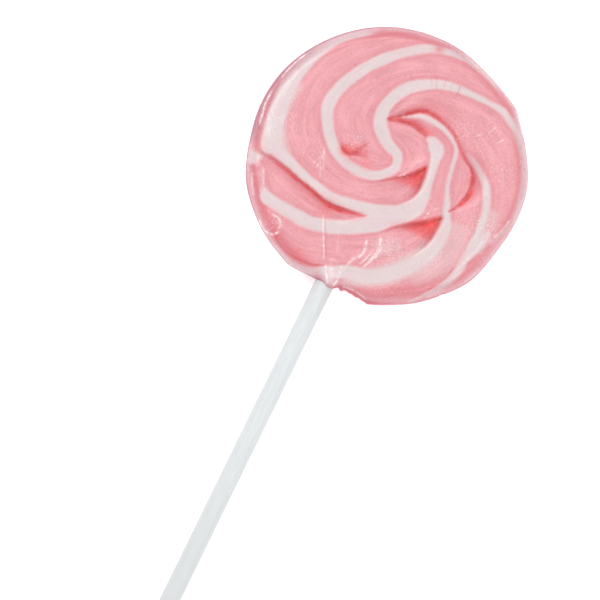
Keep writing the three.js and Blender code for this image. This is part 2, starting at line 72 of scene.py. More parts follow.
# Folds of the shown face: side of the long slope (1 left of the route, -1 right), its width, and stretches of
# (x, y, depth). The other side is a steep wall.
FOLDS = [
    (1, 5.0, [[
        (-4.2, 9.6, 1.2), (-1, 12.3, 1.5), (2, 14.8, 1.7), (6, 14.6, 1.3), (10, 13.3, 0.8),
        (14.5, 9.5, 0.9), (18, 7.2, 1.7), (19.3, 3.2, 1.9), (18.6, -0.4, 1.1), (17.4, -3, 0.1),
    ]]),
    (1, 2.6, [[(-4.2, 9.6, 1.2), (-2, 10.2, 1.6), (1, 10.8, 2), (3.6, 10.3, 1.6), (6, 9.4, 0)]]),
    (1, 3.5, [[(-12.2, 0.2, 0), (-10.6, -1.1, 1), (-9, -1.5, 1.2), (-7.2, -0.5, 0.9), (-4, 0.2, 0)]]),
    (-1, 5.0, [
        [(-3, -5.4, 0), (0, -3.9, 0.5), (3.5, -1.3, 1.1), (6, 0.8, 1.8), (8, 3.2, 2.1)],
        [(8, 3.2, 2.1), (8.5, 1, 2), (8.7, -1.5, 1.4), (8, -4.4, 0.5), (6.2, -6.8, 0)],
    ]),
    (-1, 4.2, [[
        (-31, -10.2, 0.4), (-26, -9.8, 0.8), (-20, -10.7, 1.2), (-14, -12.4, 1.6), (-8, -13.5, 1.8),
        (-3, -13, 1.2), (1.3, -12.1, 0.1),
    ]]),
    (-1, 5.0, [
        [(5.6, -14, 0.2), (8.3, -11.4, 0.9), (11, -9.5, 1.6), (14.3, -7, 2), (16.2, -5.4, 2.1)],
        [(16.2, -5.4, 2.1), (16.1, -8, 1.9), (15.9, -11, 1.3), (14.6, -15, 0.3), (13.4, -17.5, 0)],
    ]),
]
STEEP_WIDTH = 1.1  # width of the steep wall of a deep fold
STEEP_TAPER = 0.6  # share of that width that the shallowest fold has
FOLD_TAPER = 0.22  # share of a fold's length over which its slope widens from either end
LIP_RISE = 0.08  # rise of the lip behind the steep wall, as a share of the depth
LIP_DISTANCE = 1.5
LIP_REACH = 0.9

# White bands: their width where they go over the rim at the start and the end, or 0, and (x, y, width).
BANDS = [
    (2.4, 2.2, [
        (31.6, 6.2, 1.7), (30.2, 11.6, 1.9), (26, 17.8, 2), (20.5, 21.3, 2), (14, 22.8, 2), (6, 22.5, 2.3),
        (0, 20.4, 2.5), (-4.2, 17, 2.8), (-6.2, 12, 3), (-5.5, 7.8, 3.2), (-2.3, 4.7, 2.8),
        (1.1, 3.1, 2.1), (1.7, 0.1, 2), (-1.2, -3.1, 2.1), (-6, -4, 2.1), (-11.2, -2.5, 2.3),
        (-15.6, 1.6, 2.7), (-18, 7, 2.9), (-16.5, 13.2, 2.7), (-12.4, 20, 2.5), (-7, 25.3, 2.2),
        (-1.5, 28.6, 2), (5, 29.6, 2), (12.5, 28.9, 1.7),
    ]),
    (0, 2.6, [
        (6, 9.5, 1.4), (7, 9.2, 2.8), (8.6, 7.8, 3.4), (9.3, 5.2, 2), (9.8, 1.5, 2.1),
        (10.3, -2, 2.9), (9.8, -5.6, 4), (7.6, -8.7, 4.5), (4, -10.3, 4.2), (-1, -11.2, 2.7),
        (-8, -12.1, 2.2), (-14, -11, 2.2), (-20, -9.1, 2.4), (-24.8, -7.2, 3), (-27, -2.5, 3.4),
        (-28, 4, 3.5), (-27.2, 12, 3.5), (-23.6, 19.8, 3.3), (-17.5, 25.6, 3), (-10, 29.9, 2.6),
    ]),
    (0, 2.2, [
        (6.4, -9.8, 2.6), (3.9, -12.3, 4), (0.6, -15, 3.3), (-4.4, -17.7, 3), (-10.5, -19.4, 3),
        (-17, -19, 3), (-21.7, -18.2, 2.4), (-24.6, -14.8, 1), (-27, -12.3, 1.3), (-30, -11.6, 1.9),
    ]),
    (0, 2.0, [
        (-1.6, 11.7, 0.8), (1.2, 13.2, 1.7), (5, 13.5, 1.4), (9, 12.6, 1), (12.3, 10.4, 0.9),
        (13.4, 6.2, 0.9), (14.5, 1.5, 0.9), (16.3, -2.6, 1.6), (17.9, -6.6, 3), (17.8, -11, 3),
        (15.8, -16.2, 3), (11.5, -21.5, 3), (6, -24.8, 3), (0.5, -26.6, 2.6), (-4.5, -28.7, 1.9),
        (-11, -29.4, 1.8),
    ]),
    (0, 1.6, [
        (15.4, 10.2, 0.7), (19, 8.2, 1.4), (22.4, 5.2, 1.6), (24.5, 0.6, 1.8), (25.3, -5, 2),
        (25.2, -10.6, 1.9), (23.6, -17.4, 1.4), (20.2, -23.2, 1.2), (15.8, -27.4, 1.4),
    ]),
]

# Thin veils of white sugar that show round the bands: strength, softness of the edge and (x, y, width).
VEILS = [
    (0.7, 1.2, [(-20.5, -7.9, 1.2), (-24.2, -5.6, 2.6), (-25.9, -1, 1.6), (-26.1, 4, 1.2), (-25.6, 9, 1)]),
    (0.8, 0.5, [
        (-28.8, -0.5, 0.8), (-29.2, 3.5, 1.5), (-29.3, 8, 1.6), (-28.7, 12.5, 1.6), (-26.8, 17.2, 1.6),
        (-23.4, 21.6, 1.4), (-19, 25.6, 1),
    ]),
    (0.95, 0.4, [(-20.6, -18.8, 2.9), (-21.8, -18.4, 2.6), (-22.3, -17.8, 1.8)]),
    (0.95, 0.4, [(-32, -10.9, 2.2), (-28.5, -11, 2.3), (-26, -10.5, 1.4)]),
    (0.9, 0.4, [
        (-24.6, -9.6, 1.2), (-26.5, -8.4, 2), (-28, -5, 1.7), (-28.7, -2.4, 1.4), (-28.9, 0, 1.3),
        (-28.7, 3, 1.2),
    ]),
    (0.75, 1.0, [
        (17.4, -10, 3.6), (16.8, -14, 4.4), (13.6, -19, 4.8), (10, -22.8, 4.6), (5, -25.8, 4), (1, -27.4, 3),
    ]),
    (0.4, 2.5, [(20, -4, 5), (21, -10, 6), (19, -16, 6), (15, -21, 4)]),
    (0.4, 1.6, [(5.6, -18.2, 2.5), (8.6, -16.4, 3.4), (11, -14.6, 2)]),
    (0.45, 1.2, [(26.3, 2, 2), (26.8, -4, 3), (26.3, -9, 2.6)]),
    (0.5, 0.6, [(31, 0, 0.8), (30, -3, 1), (28.6, -6, 1)]),
    (0.9, 0.4, [(27.4, -3.2, 0.8), (27, -5.6, 2), (26.4, -8.4, 1.8), (25.4, -11.6, 1.2)]),
    (0.75, 0.5, [(25.7, -12, 1.2), (24.8, -16, 1.3), (22.8, -20.3, 1.4), (20.6, -23.3, 1.2)]),
    (0.7, 0.9, [
        (20, 22.4, 2), (24.5, 19.2, 2.8), (27.5, 15, 2), (29.6, 10.5, 1.6), (31, 5, 1.2), (31.6, 0, 1),
    ]),
    (0.85, 0.6, [(0.5, 29.4, 1), (5, 29.9, 1.6), (9.5, 29.4, 2.2), (13, 28.1, 1.8), (16, 26.6, 1)]),
    (0.7, 0.6, [(-3.5, -29.3, 1.4), (-8, -29.6, 1.4), (-12.5, -28.9, 1.2), (-16, -27.2, 0.8)]),
]
# Places where a band thins out: x, y, reach and the share that is left.
THIN_SPOTS = [
    (-1, 28.8, 1.2, 0), (-24.2, -15.6, 1.6, 0), (-23.3, -16.1, 1.1, 0.2), (-25.9, -13.3, 1.5, 0),
    (-11, 30, 4, 0.1), (-14, 27.3, 2.8, 0), (26.2, 17, 3.6, 0.45), (30, 11, 4, 0.55), (5, 29.4, 4, 0.85),
    (13, 28.6, 3, 0.8), (15.5, 10.2, 2, 0.5), (24.6, -12.4, 3, 0.7), (22, -20, 4, 0.3), (-8, -29, 4, 0.4),
    (17.6, -9, 2, 0.85),
]
# Places where a band is a little narrower, or wider: x, y, reach and what each side of it loses.
NARROWINGS = [
    (2.5, 13.6, 2.2, 0.16), (5, 22.3, 5, 0.22), (14, 22.8, 5, 0.32), (22, 20, 4, 0.15), (6, 29.5, 6, 0.2),
    (25.3, -3, 5, 0.2), (17.9, -7, 3, 0.1), (18.6, -4.6, 1.4, 0.3), (-28, 4, 5, -0.3), (-26, -5, 3, -0.15),
]
# Hollows of painted shade, where the pink is deepest: x, y, reach and strength.
PITS = [
    (15, -7, 1.2, 0.9), (13.4, -8.4, 1.1, 0.9), (11.6, -9.7, 1, 0.8), (7.3, 1.3, 1.1, 0.9),
    (-9.9, -1, 1.3, 0.9), (-7.7, -0.2, 1.2, 0.75), (-5.8, 0.2, 1, 0.4), (-6.6, 1.8, 0.6, 0.35),
    (18.7, 5.2, 0.9, 0.5), (-4.5, -1.4, 2, 0.22), (-8.4, -2.2, 1.4, 0.25), (-8, -14.2, 2, 0.3),
    (-15.5, -25, 1.3, 0.2), (-9, -27.2, 2, 0.2),
]
# Places where a crease's painted shade is paler: x, y, reach and the share that is taken off it.
PALE_CREASES = [
    (1.5, 10.8, 2.5, 0.2), (5.5, 9.6, 2, 0.3), (14.8, -14, 2, 0.6), (8, -4.6, 1.6, 0.6), (-26, -9.8, 5, 0.3),
]
# Stretches where a crease's painted shade is broad and deep red: strength, half width and (x, y).
DEEP_CREASES = [
    (0.5, 0.24, [(-29, -10.3), (-26, -10.1), (-23.5, -10.3)]),
    (0.95, 0.3, [(-23.5, -10.4), (-20, -11.1), (-16, -12.2)]),
    (1, 0.55, [(-1.8, 12), (0, 13.4), (2, 14.7), (3.6, 15.1)]),
    (0.85, 0.42, [(3.6, 15.1), (5.2, 14.9), (7, 14.5)]),
    (0.6, 0.3, [(7, 14.6), (10.4, 13.3), (14.6, 9.8), (18.2, 7.2)]),
    (0.6, 0.38, [(18.2, 7.2), (19.1, 5.8), (19.7, 4)]),
    (0.95, 0.42, [(19.8, 4), (19.8, 2), (19.2, 0), (18.4, -1.6)]),
    (0.8, 0.26, [(18.4, -1.6), (17.4, -2.9), (16.9, -3.5)]),
    (0.7, 0.4, [(-4.6, 10.2), (-2, 10.6), (1, 11), (3.6, 10.5)]),
    (0.5, 0.4, [(1.6, 11.4), (3.6, 11.2), (5.4, 10.2)]),
    (0.9, 0.5, [(-16, -11.6), (-11, -13.1), (-8, -13.9), (-5.4, -13.8), (-3, -13.4)]),
    (0.8, 0.28, [(-5.4, -13.7), (-2, -13.1), (1, -12.3)]),
]
# Places where light through the thin lips fills a deep corner with red: x, y, reach and strength.
GLOWS = [
    (8, 2.8, 1, 0.9), (8.4, 0.6, 0.8, 0.3), (16.1, -5.9, 1.1, 1), (15.9, -8, 0.9, 0.7), (6, 1, 0.9, 0.25),
    (14.4, -7.1, 1, 0.6), (19.3, 3.2, 1.5, 0.6), (19, -0.2, 1.2, 0.4), (1.5, 10.9, 1.8, 0.5),
    (4.4, 10.2, 1.2, 0.6), (-9.5, -1.3, 1.2, 0.5), (-3.6, 9.8, 1, 0.5),
]
# Triangular hollows with deep red painted shade: three corners of (x, y, strength).
DEEP_PATCHES = [
    [(-0.6, 11.3, 0.9), (7.6, 12.4, 0.3), (5.4, 9.2, 0.8)],
    [(8.4, 3.6, 1.3), (8.6, -2.4, 0.6), (-0.6, -3.2, 0.1)],
    [(16.5, -4.7, 1.3), (16, -11.8, 0.5), (5.8, -11.6, 0.5)],
]
# Scratches and painted highlights in glossy lines and glints: brightness, half width and (x, y).
SCRATCHES = [
    (1, 0.2, [(12.8, -5.6), (13.4, -5.9)]),
    (0.9, 0.16, [(12.6, -6.9), (13.1, -7.1)]),
    (0.9, 0.18, [(5, 0.7), (4.2, -0.3), (3.2, -1.3)]),
    (0.9, 0.16, [(-8.3, -16), (-5.6, -21.4), (-3.3, -25.8)]),
    (0.3, 0.2, [(-3.4, -18), (-1.5, -23)]),
    (0.7, 0.16, [(-14.8, -2.1), (-12.5, -7.4)]),
    (0.6, 0.16, [(-14, -4), (-14.2, -7.6)]),
    (0.6, 0.16, [(-14, -4), (-15.4, -7)]),
    (0.7, 0.13, [(18.3, 18.8), (17.4, 16.4)]),
    (0.7, 0.13, [(21.3, 17), (20, 15.3)]),
    (0.5, 0.13, [(16.5, 16), (15, 14.6)]),
    (1, 0.27, [(5.5, -14.6), (6.6, -17.5), (6.1, -20.5), (5.1, -23.4)]),
    (0.9, 0.2, [(7.1, -16.6), (6.9, -19.2), (5.9, -22)]),
    (0.8, 0.18, [(5.6, -18.4), (5.1, -20.6), (4.1, -23)]),
    (0.75, 0.27, [(3, -16.7), (3.8, -19.4), (3.5, -21.3), (2.6, -22.2), (1.5, -24.6)]),
    (0.6, 0.35, [(3.6, -20.6), (2.8, -22), (1.8, -22.8)]),
    (0.5, 0.25, [(1.9, -23.6), (1.4, -26)]),
    (0.4, 0.7, [(-28.7, 1), (-28.6, 6), (-27.6, 11)]),
    (0.9, 0.22, [(-25.2, -12.4), (-24, -14.8), (-23.2, -16.6), (-22, -17.4)]),
    (1, 0.24, [(-21.2, -23.4), (-18.8, -25.2), (-16.6, -25.5), (-15.3, -24)]),
    (0.85, 0.2, [(-19, -21.4), (-16.9, -21.5), (-15.9, -22.7), (-15.9, -24.3)]),
    (0.5, 0.3, [(-27, -14.6), (-26.3, -16.2), (-25.2, -18), (-24.1, -19.6)]),
    (0.95, 0.26, [(-30.1, -4.6), (-30.7, -1.5), (-31.1, 1.2), (-30.9, 4.4)]),
    (0.55, 0.8, [(-28.7, 2.4), (-28.4, -2), (-27.2, -6.6)]),
    (0.35, 0.15, [(-14.3, -5), (-12.2, -9.7)]),
    (0.9, 0.22, [(-30.4, 7), (-29.9, 9.6), (-28.8, 12.6), (-27.4, 15.4)]),
    (1, 0.28, [(-2.7, -26.3), (-1.6, -28.2), (-0.3, -29.9)]),
    (0.9, 0.25, [(0.7, -24.6), (1.1, -27), (1.2, -28.8), (0.8, -30.2)]),
    (0.6, 0.2, [(-1, -26.2), (0.1, -28.8)]),
    (0.7, 0.15, [(20.3, 24.4), (22.6, 22.4), (25, 19.6)]),
    (0.5, 0.2, [(2.6, -29.2), (5.5, -28.9), (9.5, -29.5)]),
    (0.65, 0.26, [(27.2, -5), (26.5, -8.4), (25.2, -12.3), (24, -16)]),
    (0.45, 0.26, [(29.2, -11.4), (28.4, -14), (27.4, -16.2)]),
    (0.5, 0.3, [(30.6, 1.6), (29.9, -1.6), (28.7, -4.6)]),
]
# Fine dark lines, in the same form; those along the rim and round its chips are painted shade.
HAIRLINES = [
    (0.9, 0.16, [(23.9, -13.6), (22.8, -17.6), (20.4, -21.8)]),
    (0.35, 0.15, [(1.1, 23.3), (2.6, 20.2)]),
    (0.3, 0.15, [(0.2, 22.4), (1.4, 20.4)]),
    (0.5, 0.18, [(7, 23.6), (7.2, 21)]),
    (0.4, 0.2, [(-7.9, -16.2), (-2.9, -25.6)]),
    (0.6, 0.4, [(-11.5, -0.9), (-9.5, -1.2), (-7.8, -0.3), (-6.3, 2.8)]),
    (0.5, 0.4, [(-10, -1.7), (-7.8, -1), (-6, -0.7), (-4.4, -0.5)]),
    (0.45, 0.25, [(-0.5, 31), (5, 30.7), (10, 29.3), (15, 27), (20, 23.4)]),
    (0.35, 0.2, [(3, 30.1), (10, 28.4), (15.6, 25.8)]),
    (0.8, 0.45, [(1.2, -30.5), (3, -30), (6, -29.3), (9, -29.7)]),
    (0.75, 0.24, [(-17, -24.6), (-14, -26.8), (-10.8, -27.9), (-5.8, -27.7), (-2.2, -26.3)]),
    (0.35, 0.13, [(3.4, 23.4), (3.8, 21.4)]),
    (0.3, 0.13, [(5.2, 23.4), (5.4, 21.4)]),
]
LEAST_SPARKLE = 0.12
# Places where the sugar's grain is stronger and painted glints show more: x, y, reach and strength.
SPARKLES = [
    (12.3, 14.5, 3, 0.9), (9, -17, 4, 1), (24, 9, 5, 0.7), (26, -3, 5, 1), (-26.5, -2, 4.5, 1),
    (20, -14, 5, 0.7), (13.6, -5.2, 2, 1), (-3, -8, 5, 0.4), (-18, -4, 4, 0.5), (-17.3, -22.8, 2.2, 1),
    (-28, -3, 3.5, 1), (6, -19.5, 2, 1), (17, 16, 5, 0.6), (-9.6, 1.9, 2.4, 0.9), (-29, -14, 4, 0.7),
    (-27.5, 5, 3.5, 0.8), (-25, 13, 3, 0.5), (4, -27, 3, 0.6), (13, -25.5, 4, 0.6), (6, -19, 3, 0.8),
    (4.2, -0.2, 1.2, 1),
]
# Blisters that stand out of the skin: x, y, reach and rise.
BLISTERS = [
    (-18, -23, 2.0, 0.22), (-19.4, -21.6, 0.6, 0.15), (-16.2, -22, 0.5, 0.15), (-17, -24.6, 0.5, 0.12),
    (-27.4, -13.3, 0.8, 0.2), (13.6, -5.4, 0.5, 0.1),
]
# Chips and spurs of the rim: direction in degrees, half width in degrees and rise.
CHIPS = [
    (274.2, 0.9, -0.4), (275.9, 0.6, 0.25), (277.6, 1.2, -0.25), (281, 0.8, -0.15), (284, 1.4, -0.25),
    (288, 0.8, 0.2), (319, 1, -0.2),
]
CHIP_TILT = 45.0  # degrees of tilt over which they fade
# The ring of painted shade inside the rim, where the face turns down: direction in degrees, distance from the
# rim, half width and strength.
RING = [
    (0, 2.3, 0.9, 0.7), (30, 2.2, 0.9, 0.8), (60, 2, 0.9, 0.8), (90, 1.7, 0.9, 0.8), (115, 2.1, 0.9, 1),
    (130, 3, 1, 0.5), (145, 3, 1, 0), (160, 2, 0.8, 0.2), (175, 1.5, 0.8, 0.6), (200, 1.8, 0.9, 0.7),
    (215, 2.2, 1, 0.9), (235, 2.3, 1.3, 1), (250, 2.5, 1.3, 1.1), (262, 2.3, 1.1, 0.8), (270, 2, 1, 0),
    (280, 2, 1, 0.6), (300, 3, 1.5, 1), (320, 3.2, 1.4, 0.9), (340, 3, 1.2, 0.8),
]
# Painted shade that darkens the rim: direction in degrees, strength and half width.
DUSK = [
    (0, 0.3, 1.1), (30, 0.35, 1.1), (50, 0.4, 1.1), (60, 0.1, 1.1), (75, 0.1, 1.1), (84, 0.6, 1.1),
    (100, 0.45, 1.1), (140, 0.4, 1.1), (160, 0.9, 1.3), (188, 1, 1.6), (194, 0.9, 1.3), (197, 0.15, 1.1),
    (202, 0.15, 1.1), (206, 0.4, 1.1), (235, 0.3, 1.1), (300, 0.35, 1.1), (340, 0.35, 1.1),
]
# Painted shade on the edge of the rim: direction and tilt where it begins, in degrees, strength and redness.
EDGE = [
    (0, 56, 0.8, 0.75), (40, 54, 0.8, 0.6), (62, 56, 0.6, 0.5), (78, 54, 0.7, 0.5), (90, 46, 0.85, 0.5),
    (140, 44, 0.9, 0.3), (165, 38, 0.9, 0.25), (190, 38, 0.9, 0.25), (197, 53, 0.85, 0.35),
    (215, 51, 0.9, 0.5), (228, 57, 0.85, 0.2), (258, 60, 0.8, 0.1), (266, 40, 0.9, 0.8), (274, 32, 1, 1),
    (290, 36, 0.95, 1), (305, 48, 0.8, 0.9), (340, 54, 0.8, 0.8),
]
# The way of a band over the rim and in on the back.
OVER_TURN = 20  # degrees, on its way over
BACK_TURN = 105  # degrees, on the back
BACK_START_SHARE = 0.35  # of the back's rounding
BACK_INNER_RADIUS, BACK_INNER_WIDTH = 8.0, 1.0
BACK_STEPS = 8

# Steps along lines that distances are measured to.
FOLD_STEP, ROUTE_STEP = 0.5, 0.25
STROKE_STEP, VEIL_STEP = 0.3, 0.5

# Painted shade at the bottom of a crease, with the painted shade of the long slope.
CREASE_STRENGTH = 0.8
CREASE_FULL_DEPTH = 1.6  # a fold this deep has that strength
CREASE_ON_SLOPE, CREASE_ON_WALL = 0.32, 0.4  # half widths
CREASE_RAGGEDNESS = 0.2
STROKE_RAGGEDNESS = 0.15
RAGGED_CELL = 0.5
FOLD_FULL_DEPTH = 2.0  # a fold this deep has the full wall and shade

# Edges of bands, veils, strokes and patches. Pairs are the two ends of a smooth step.
BAND_SOFTNESS = 0.4
WOBBLE_BY_STREAKS, WOBBLE_BY_NOISE = 0.06, 0.12
WOBBLE_CELL = 2.5
BESIDE_DISTANCE, BESIDE_REACH = 0.5, 0.6  # the redder pink beside a band
STROKE_ENDS = -0.02, 0.15
VEIL_ENDS = -0.02, 0.1
PATCH_EDGE = -0.35, 1.3
# The dashes break the painted highlight lines as well.
DASH_CELL = 0.6  # breaks in the scratches
DASH_EDGE = -0.5, 0.3
DASH_LEAST = 0.5

# The rim: degrees of tilt over which the painted shade of the edge comes and goes.
TINT_RISE = 24
TINT_FADE = 100, 165
# The dusk is painted shade that darkens the rim.
DUSK_INSIDE = 0.9  # where the dusk is deepest
# The ring's colour is painted shade; on the back it lies evenly.
BACK_RING = 0.3  # strength of the ring's colour on the back

# Relief of the skin.
FINE_RISE, BROAD_RISE = 0.008, 0.012
SEAM_DEPTH, SEAM_REACH = 0.015, 0.5  # at the edge of a band
SCRATCH_RISE, HAIRLINE_DEPTH = 0.03, 0.05
TONGUE = (-0.9, -25.6, 0), (0.4, -29.6, 0)  # a sharper ridge on the collar
TONGUE_EDGE = 1.6, 1.1
TONGUE_STEP = 0.2
SKIN_INSET = 0.07  # keeps the streaks within the CAD's box

# Streaks: size of a cell, how far they are drawn out, and the seeds of the front and the back.
FINE_STREAKS = 0.2, 2.0, 1, 3
BROAD_STREAKS = 0.55, 6.0, 2, 4
STREAK_EXTENT = 45
FLOW_CORNERS = 91
FLOW_GROUPS = 20
FLOW_SOFTNESS, FLOW_FALL = 1.0, 1.5
SOURCE_EVERY = 3
FRONT_CIRCLES = 31, 36, 42  # guides outside the bands
BACK_CIRCLES = (33,)
CIRCLE_POINTS = 240
LEAST_BACK_POINTS = 8

SEEDS = {"creases": 11, "band_edges": 5, "strokes": 12, "dashes": 9}
NOISE_TABLE = 4096
NOISE_FACTORS = 73, 1361, 2671

# ---------------- small helpers


def bell(distance, reach):
    return np.exp(-(distance / reach) ** 2)


def polar(length, angle, *more):
    return np.stack([length * np.cos(angle), length * np.sin(angle), *more], axis=-1)


def smoothstep(value, low, high):
    t = np.clip((value - low) / (high - low), 0, 1)
    return t * t * (3 - 2 * t)


def lerp(a, b, share):
    return a + (b - a) * share


CURVE_POINTS = 40
LEAST_POINTS = 5


def smooth_line(points, step):
    """Evenly spaced points of the smooth curve through points that begin with x and y."""
    points = np.array(points, float)
    padded = np.vstack([2 * points[0] - points[1], points, 2 * points[-1] - points[-2]])
    share = np.linspace(0, 1, CURVE_POINTS, endpoint=False)[:, None]
    parts = []
    for p0, p1, p2, p3 in zip(padded, padded[1:], padded[2:], padded[3:]):
        t1, t2 = (p2 - p0) / 2, (p3 - p1) / 2
        cubic = (2 * p1 - 2 * p2 + t1 + t2) * share ** 3 + (3 * p2 - 3 * p1 - 2 * t1 - t2) * share ** 2
        parts.append(cubic + t1 * share + p1)
    fine = np.vstack(parts + [points[-1:]])
    pieces = np.linalg.norm(np.diff(fine[:, :2], axis=0), axis=1)
    length = np.concatenate([[0], np.cumsum(pieces)])
    even = np.linspace(0, length[-1], max(LEAST_POINTS, round(length[-1] / step) + 1))
    return np.stack([np.interp(even, length, column) for column in fine.T], axis=1)


def value_noise(points, cell, seed):
    """Smooth random values from -1 to 1 at points (n, 3), with bumps about cell mm across."""
    table = np.random.default_rng(seed).uniform(-1, 1, NOISE_TABLE)
    scaled = points / cell
    base = np.floor(scaled).astype(int)
    t = scaled - base
    t = t * t * (3 - 2 * t)
    total = 0
    for corner in np.ndindex(2, 2, 2):
        place = (base + corner) @ np.array(NOISE_FACTORS)
        weight = np.prod(np.where(corner, t, 1 - t), axis=1)
        total = total + weight * table[place % NOISE_TABLE]
    return total


# ---------------- form of the head


def rim_radius(angle):
    radius = np.full_like(angle, HEAD_RADIUS)
    for direction, reach, rise in RIM_SWELLS:
        turned = (np.degrees(angle) - direction + 180) % 360 - 180
        radius = radius + rise * bell(turned, reach)
    down = -np.sin(angle)
    flattened = radius - HEAD_RADIUS + FLAT_BOTTOM / np.maximum(down, 0.1)
    soft = (radius + flattened - np.sqrt((radius - flattened) ** 2 + FLAT_ROUNDING ** 2)) / 2
    return np.where(down < FLAT_REACH, radius, soft)


GROUP = 4000  # points measured at once
TINY = 1e-6


def nearest_on_line(line, points):
    """Distance of points from a line, least and greatest side, its third value, share from its nearer end."""
    start, step = line[:-1, :2], np.diff(line[:, :2], axis=0)
    square = np.maximum((step ** 2).sum(1), 1e-9)
    rows = []
    for some in np.array_split(points, max(1, len(points) // GROUP)):
        to = some[:, None] - start
        t = np.clip((to * step).sum(2) / square, 0, 1)
        off = to - t[..., None] * step
        distance = np.sqrt((off ** 2).sum(2))
        best = distance.argmin(1)
        row = np.arange(len(some))
        nearest = distance[row, best]
        side = np.sign(step[:, 0] * off[..., 1] - step[:, 1] * off[..., 0])
        tied = distance < nearest[:, None] + TINY
        low = np.where(tied, side, 2).min(1)
        high = np.where(tied, side, -2).max(1)
        value = lerp(line[best, 2], line[best + 1, 2], t[row, best])
        share = (best + t[row, best]) / len(step)
        rows.append(np.stack([nearest, low, high, value, np.minimum(share, 1 - share)]))
    return np.hstack(rows)


def fold_forms(x, y):
    """How much the folds lower the face, how strong the crease's painted shade is, and the painted shade of
    the long slope.
    """
    points = np.stack([x, y], axis=1)
    groove, lip, crease, shade = (np.zeros(len(x)) for _ in range(4))
    flat = np.stack([x, y, 0 * x], axis=1)
    ragged = CREASE_RAGGEDNESS * value_noise(flat, RAGGED_CELL, SEEDS["creases"])
    for slope, width, stretches in FOLDS:
        line = np.vstack([smooth_line(stretch, FOLD_STEP) for stretch in stretches])
        distance, low, high, depth, share = nearest_on_line(line, points)
        beside_slope = (low if slope > 0 else -high) > 0
        fullness = np.clip(depth / FOLD_FULL_DEPTH, 0, 1)
        steep = STEEP_WIDTH * lerp(STEEP_TAPER, 1, fullness)
        wide = lerp(steep, width, smoothstep(share, 0, FOLD_TAPER))
        on_slope = np.clip(1 - distance / wide, 0, 1) ** 2
        near = np.clip(1 - distance / steep, 0, 1)
        on_wall = 1 - np.sqrt(1 - near ** 2)
        groove = np.maximum(groove, depth * np.where(beside_slope, on_slope, on_wall))
        rise = LIP_RISE * depth * bell(distance - LIP_DISTANCE, LIP_REACH)
        lip = np.maximum(lip, np.where(beside_slope, 0, rise))
        strength = CREASE_STRENGTH * np.clip(depth / CREASE_FULL_DEPTH, 0, 1)
        spread = np.where(beside_slope, CREASE_ON_SLOPE, CREASE_ON_WALL)
        crease = np.maximum(crease, strength * bell(np.maximum(distance + ragged, 0), spread))
        shade = np.maximum(shade, np.where(beside_slope, fullness * on_slope, 0))
    return groove - lip, crease, shade


def face_height(x, y, groove):
    fall = FACE_FALL * (x * x + y * y) / HEAD_RADIUS ** 2
    hollow = EYE["depth"] * bell(np.hypot(x - EYE["x"], y - EYE["y"]), EYE["reach"])
    return HEAD_THICKNESS - fall - hollow - groove


# A place on the skin is a direction and a path, the way along the skin from the middle of the face, over the
# rim and on to the middle of the back.
EVEN_RADIUS = 22.0
FRONT_ARC = math.pi / 2 * math.hypot(FRONT_EDGE, HEAD_THICKNESS - RIM_HEIGHT) / math.sqrt(2)
BACK_ARC = math.pi / 2 * math.hypot(BACK_EDGE, RIM_HEIGHT) / math.sqrt(2)
BACK_RADIUS = HEAD_RADIUS - BACK_EDGE
FACE_PATH = HEAD_RADIUS - FRONT_EDGE
RIM_PATH = FACE_PATH + FRONT_ARC
BACK_PATH = RIM_PATH + BACK_ARC
WHOLE_PATH = BACK_PATH + BACK_RADIUS


def ring_at(angle, path):
    """Radius and tilt of the skin: 0 facing up, 90 degrees facing out, 180 degrees facing down."""
    swell = rim_radius(angle) - HEAD_RADIUS
    quarter = math.pi / 2
    on_front_arc = np.clip((path - FACE_PATH) / FRONT_ARC, 0, 1)
    on_back_arc = np.clip((path - RIM_PATH) / BACK_ARC, 0, 1)
    tilt = quarter * on_front_arc + quarter * on_back_arc
    on_face = path + swell * np.clip((path - EVEN_RADIUS) / (FACE_PATH - EVEN_RADIUS), 0, 1)
    on_front_edge = FACE_PATH + swell + FRONT_EDGE * np.sin(tilt)
    on_back_edge = BACK_RADIUS + swell + BACK_EDGE * np.sin(tilt)
    on_back = (BACK_RADIUS + swell) * (WHOLE_PATH - path) / BACK_RADIUS
    where = [path <= FACE_PATH, path <= RIM_PATH, path <= BACK_PATH]
    return np.select(where, [on_face, on_front_edge, on_back_edge], on_back), tilt


def skin(angle, path, groove=0.0, collar=0.0):
    """Points of the skin, with the outward directions there. Grooves and the collar change the front only."""
    radius, tilt = ring_at(angle, path)
    x, y = polar(radius, angle).T
    up = face_height(x, y, groove) + collar - RIM_HEIGHT
    z = RIM_HEIGHT + np.where(tilt <= math.pi / 2, up, RIM_HEIGHT) * np.cos(tilt)
    return np.stack([x, y, z], axis=1), polar(np.sin(tilt), angle, np.cos(tilt))


def place_on_front(x, y):
    angle, radius = np.arctan2(y, x), np.hypot(x, y)
    face_end = FACE_PATH + rim_radius(angle) - HEAD_RADIUS
    outer = lerp(EVEN_RADIUS, FACE_PATH, (radius - EVEN_RADIUS) / (face_end - EVEN_RADIUS))
    tilt = np.arcsin(np.clip((radius - face_end) / FRONT_EDGE, 0, 1))
    edge = FACE_PATH + FRONT_ARC * tilt / (math.pi / 2)
    return angle, np.select([radius <= EVEN_RADIUS, radius <= face_end], [radius, outer], edge)


# ---------------- routes of the white bands


def back_route(angle, width):
    share = np.linspace(0, 1, BACK_STEPS + 1)
    turned = angle - math.radians(BACK_TURN) * share
    path = lerp(RIM_PATH + BACK_START_SHARE * BACK_ARC, WHOLE_PATH - BACK_INNER_RADIUS, share)
    return polar(path, turned, lerp(width, BACK_INNER_WIDTH, share))


def direction_over(end, inner):
    """The direction in which a band reaches the back, as it goes on turning."""
    direction = math.atan2(end[1], end[0])
    turned = (direction - math.atan2(inner[1], inner[0]) + math.pi) % (2 * math.pi) - math.pi
    return direction + math.radians(OVER_TURN) * math.copysign(1, turned)


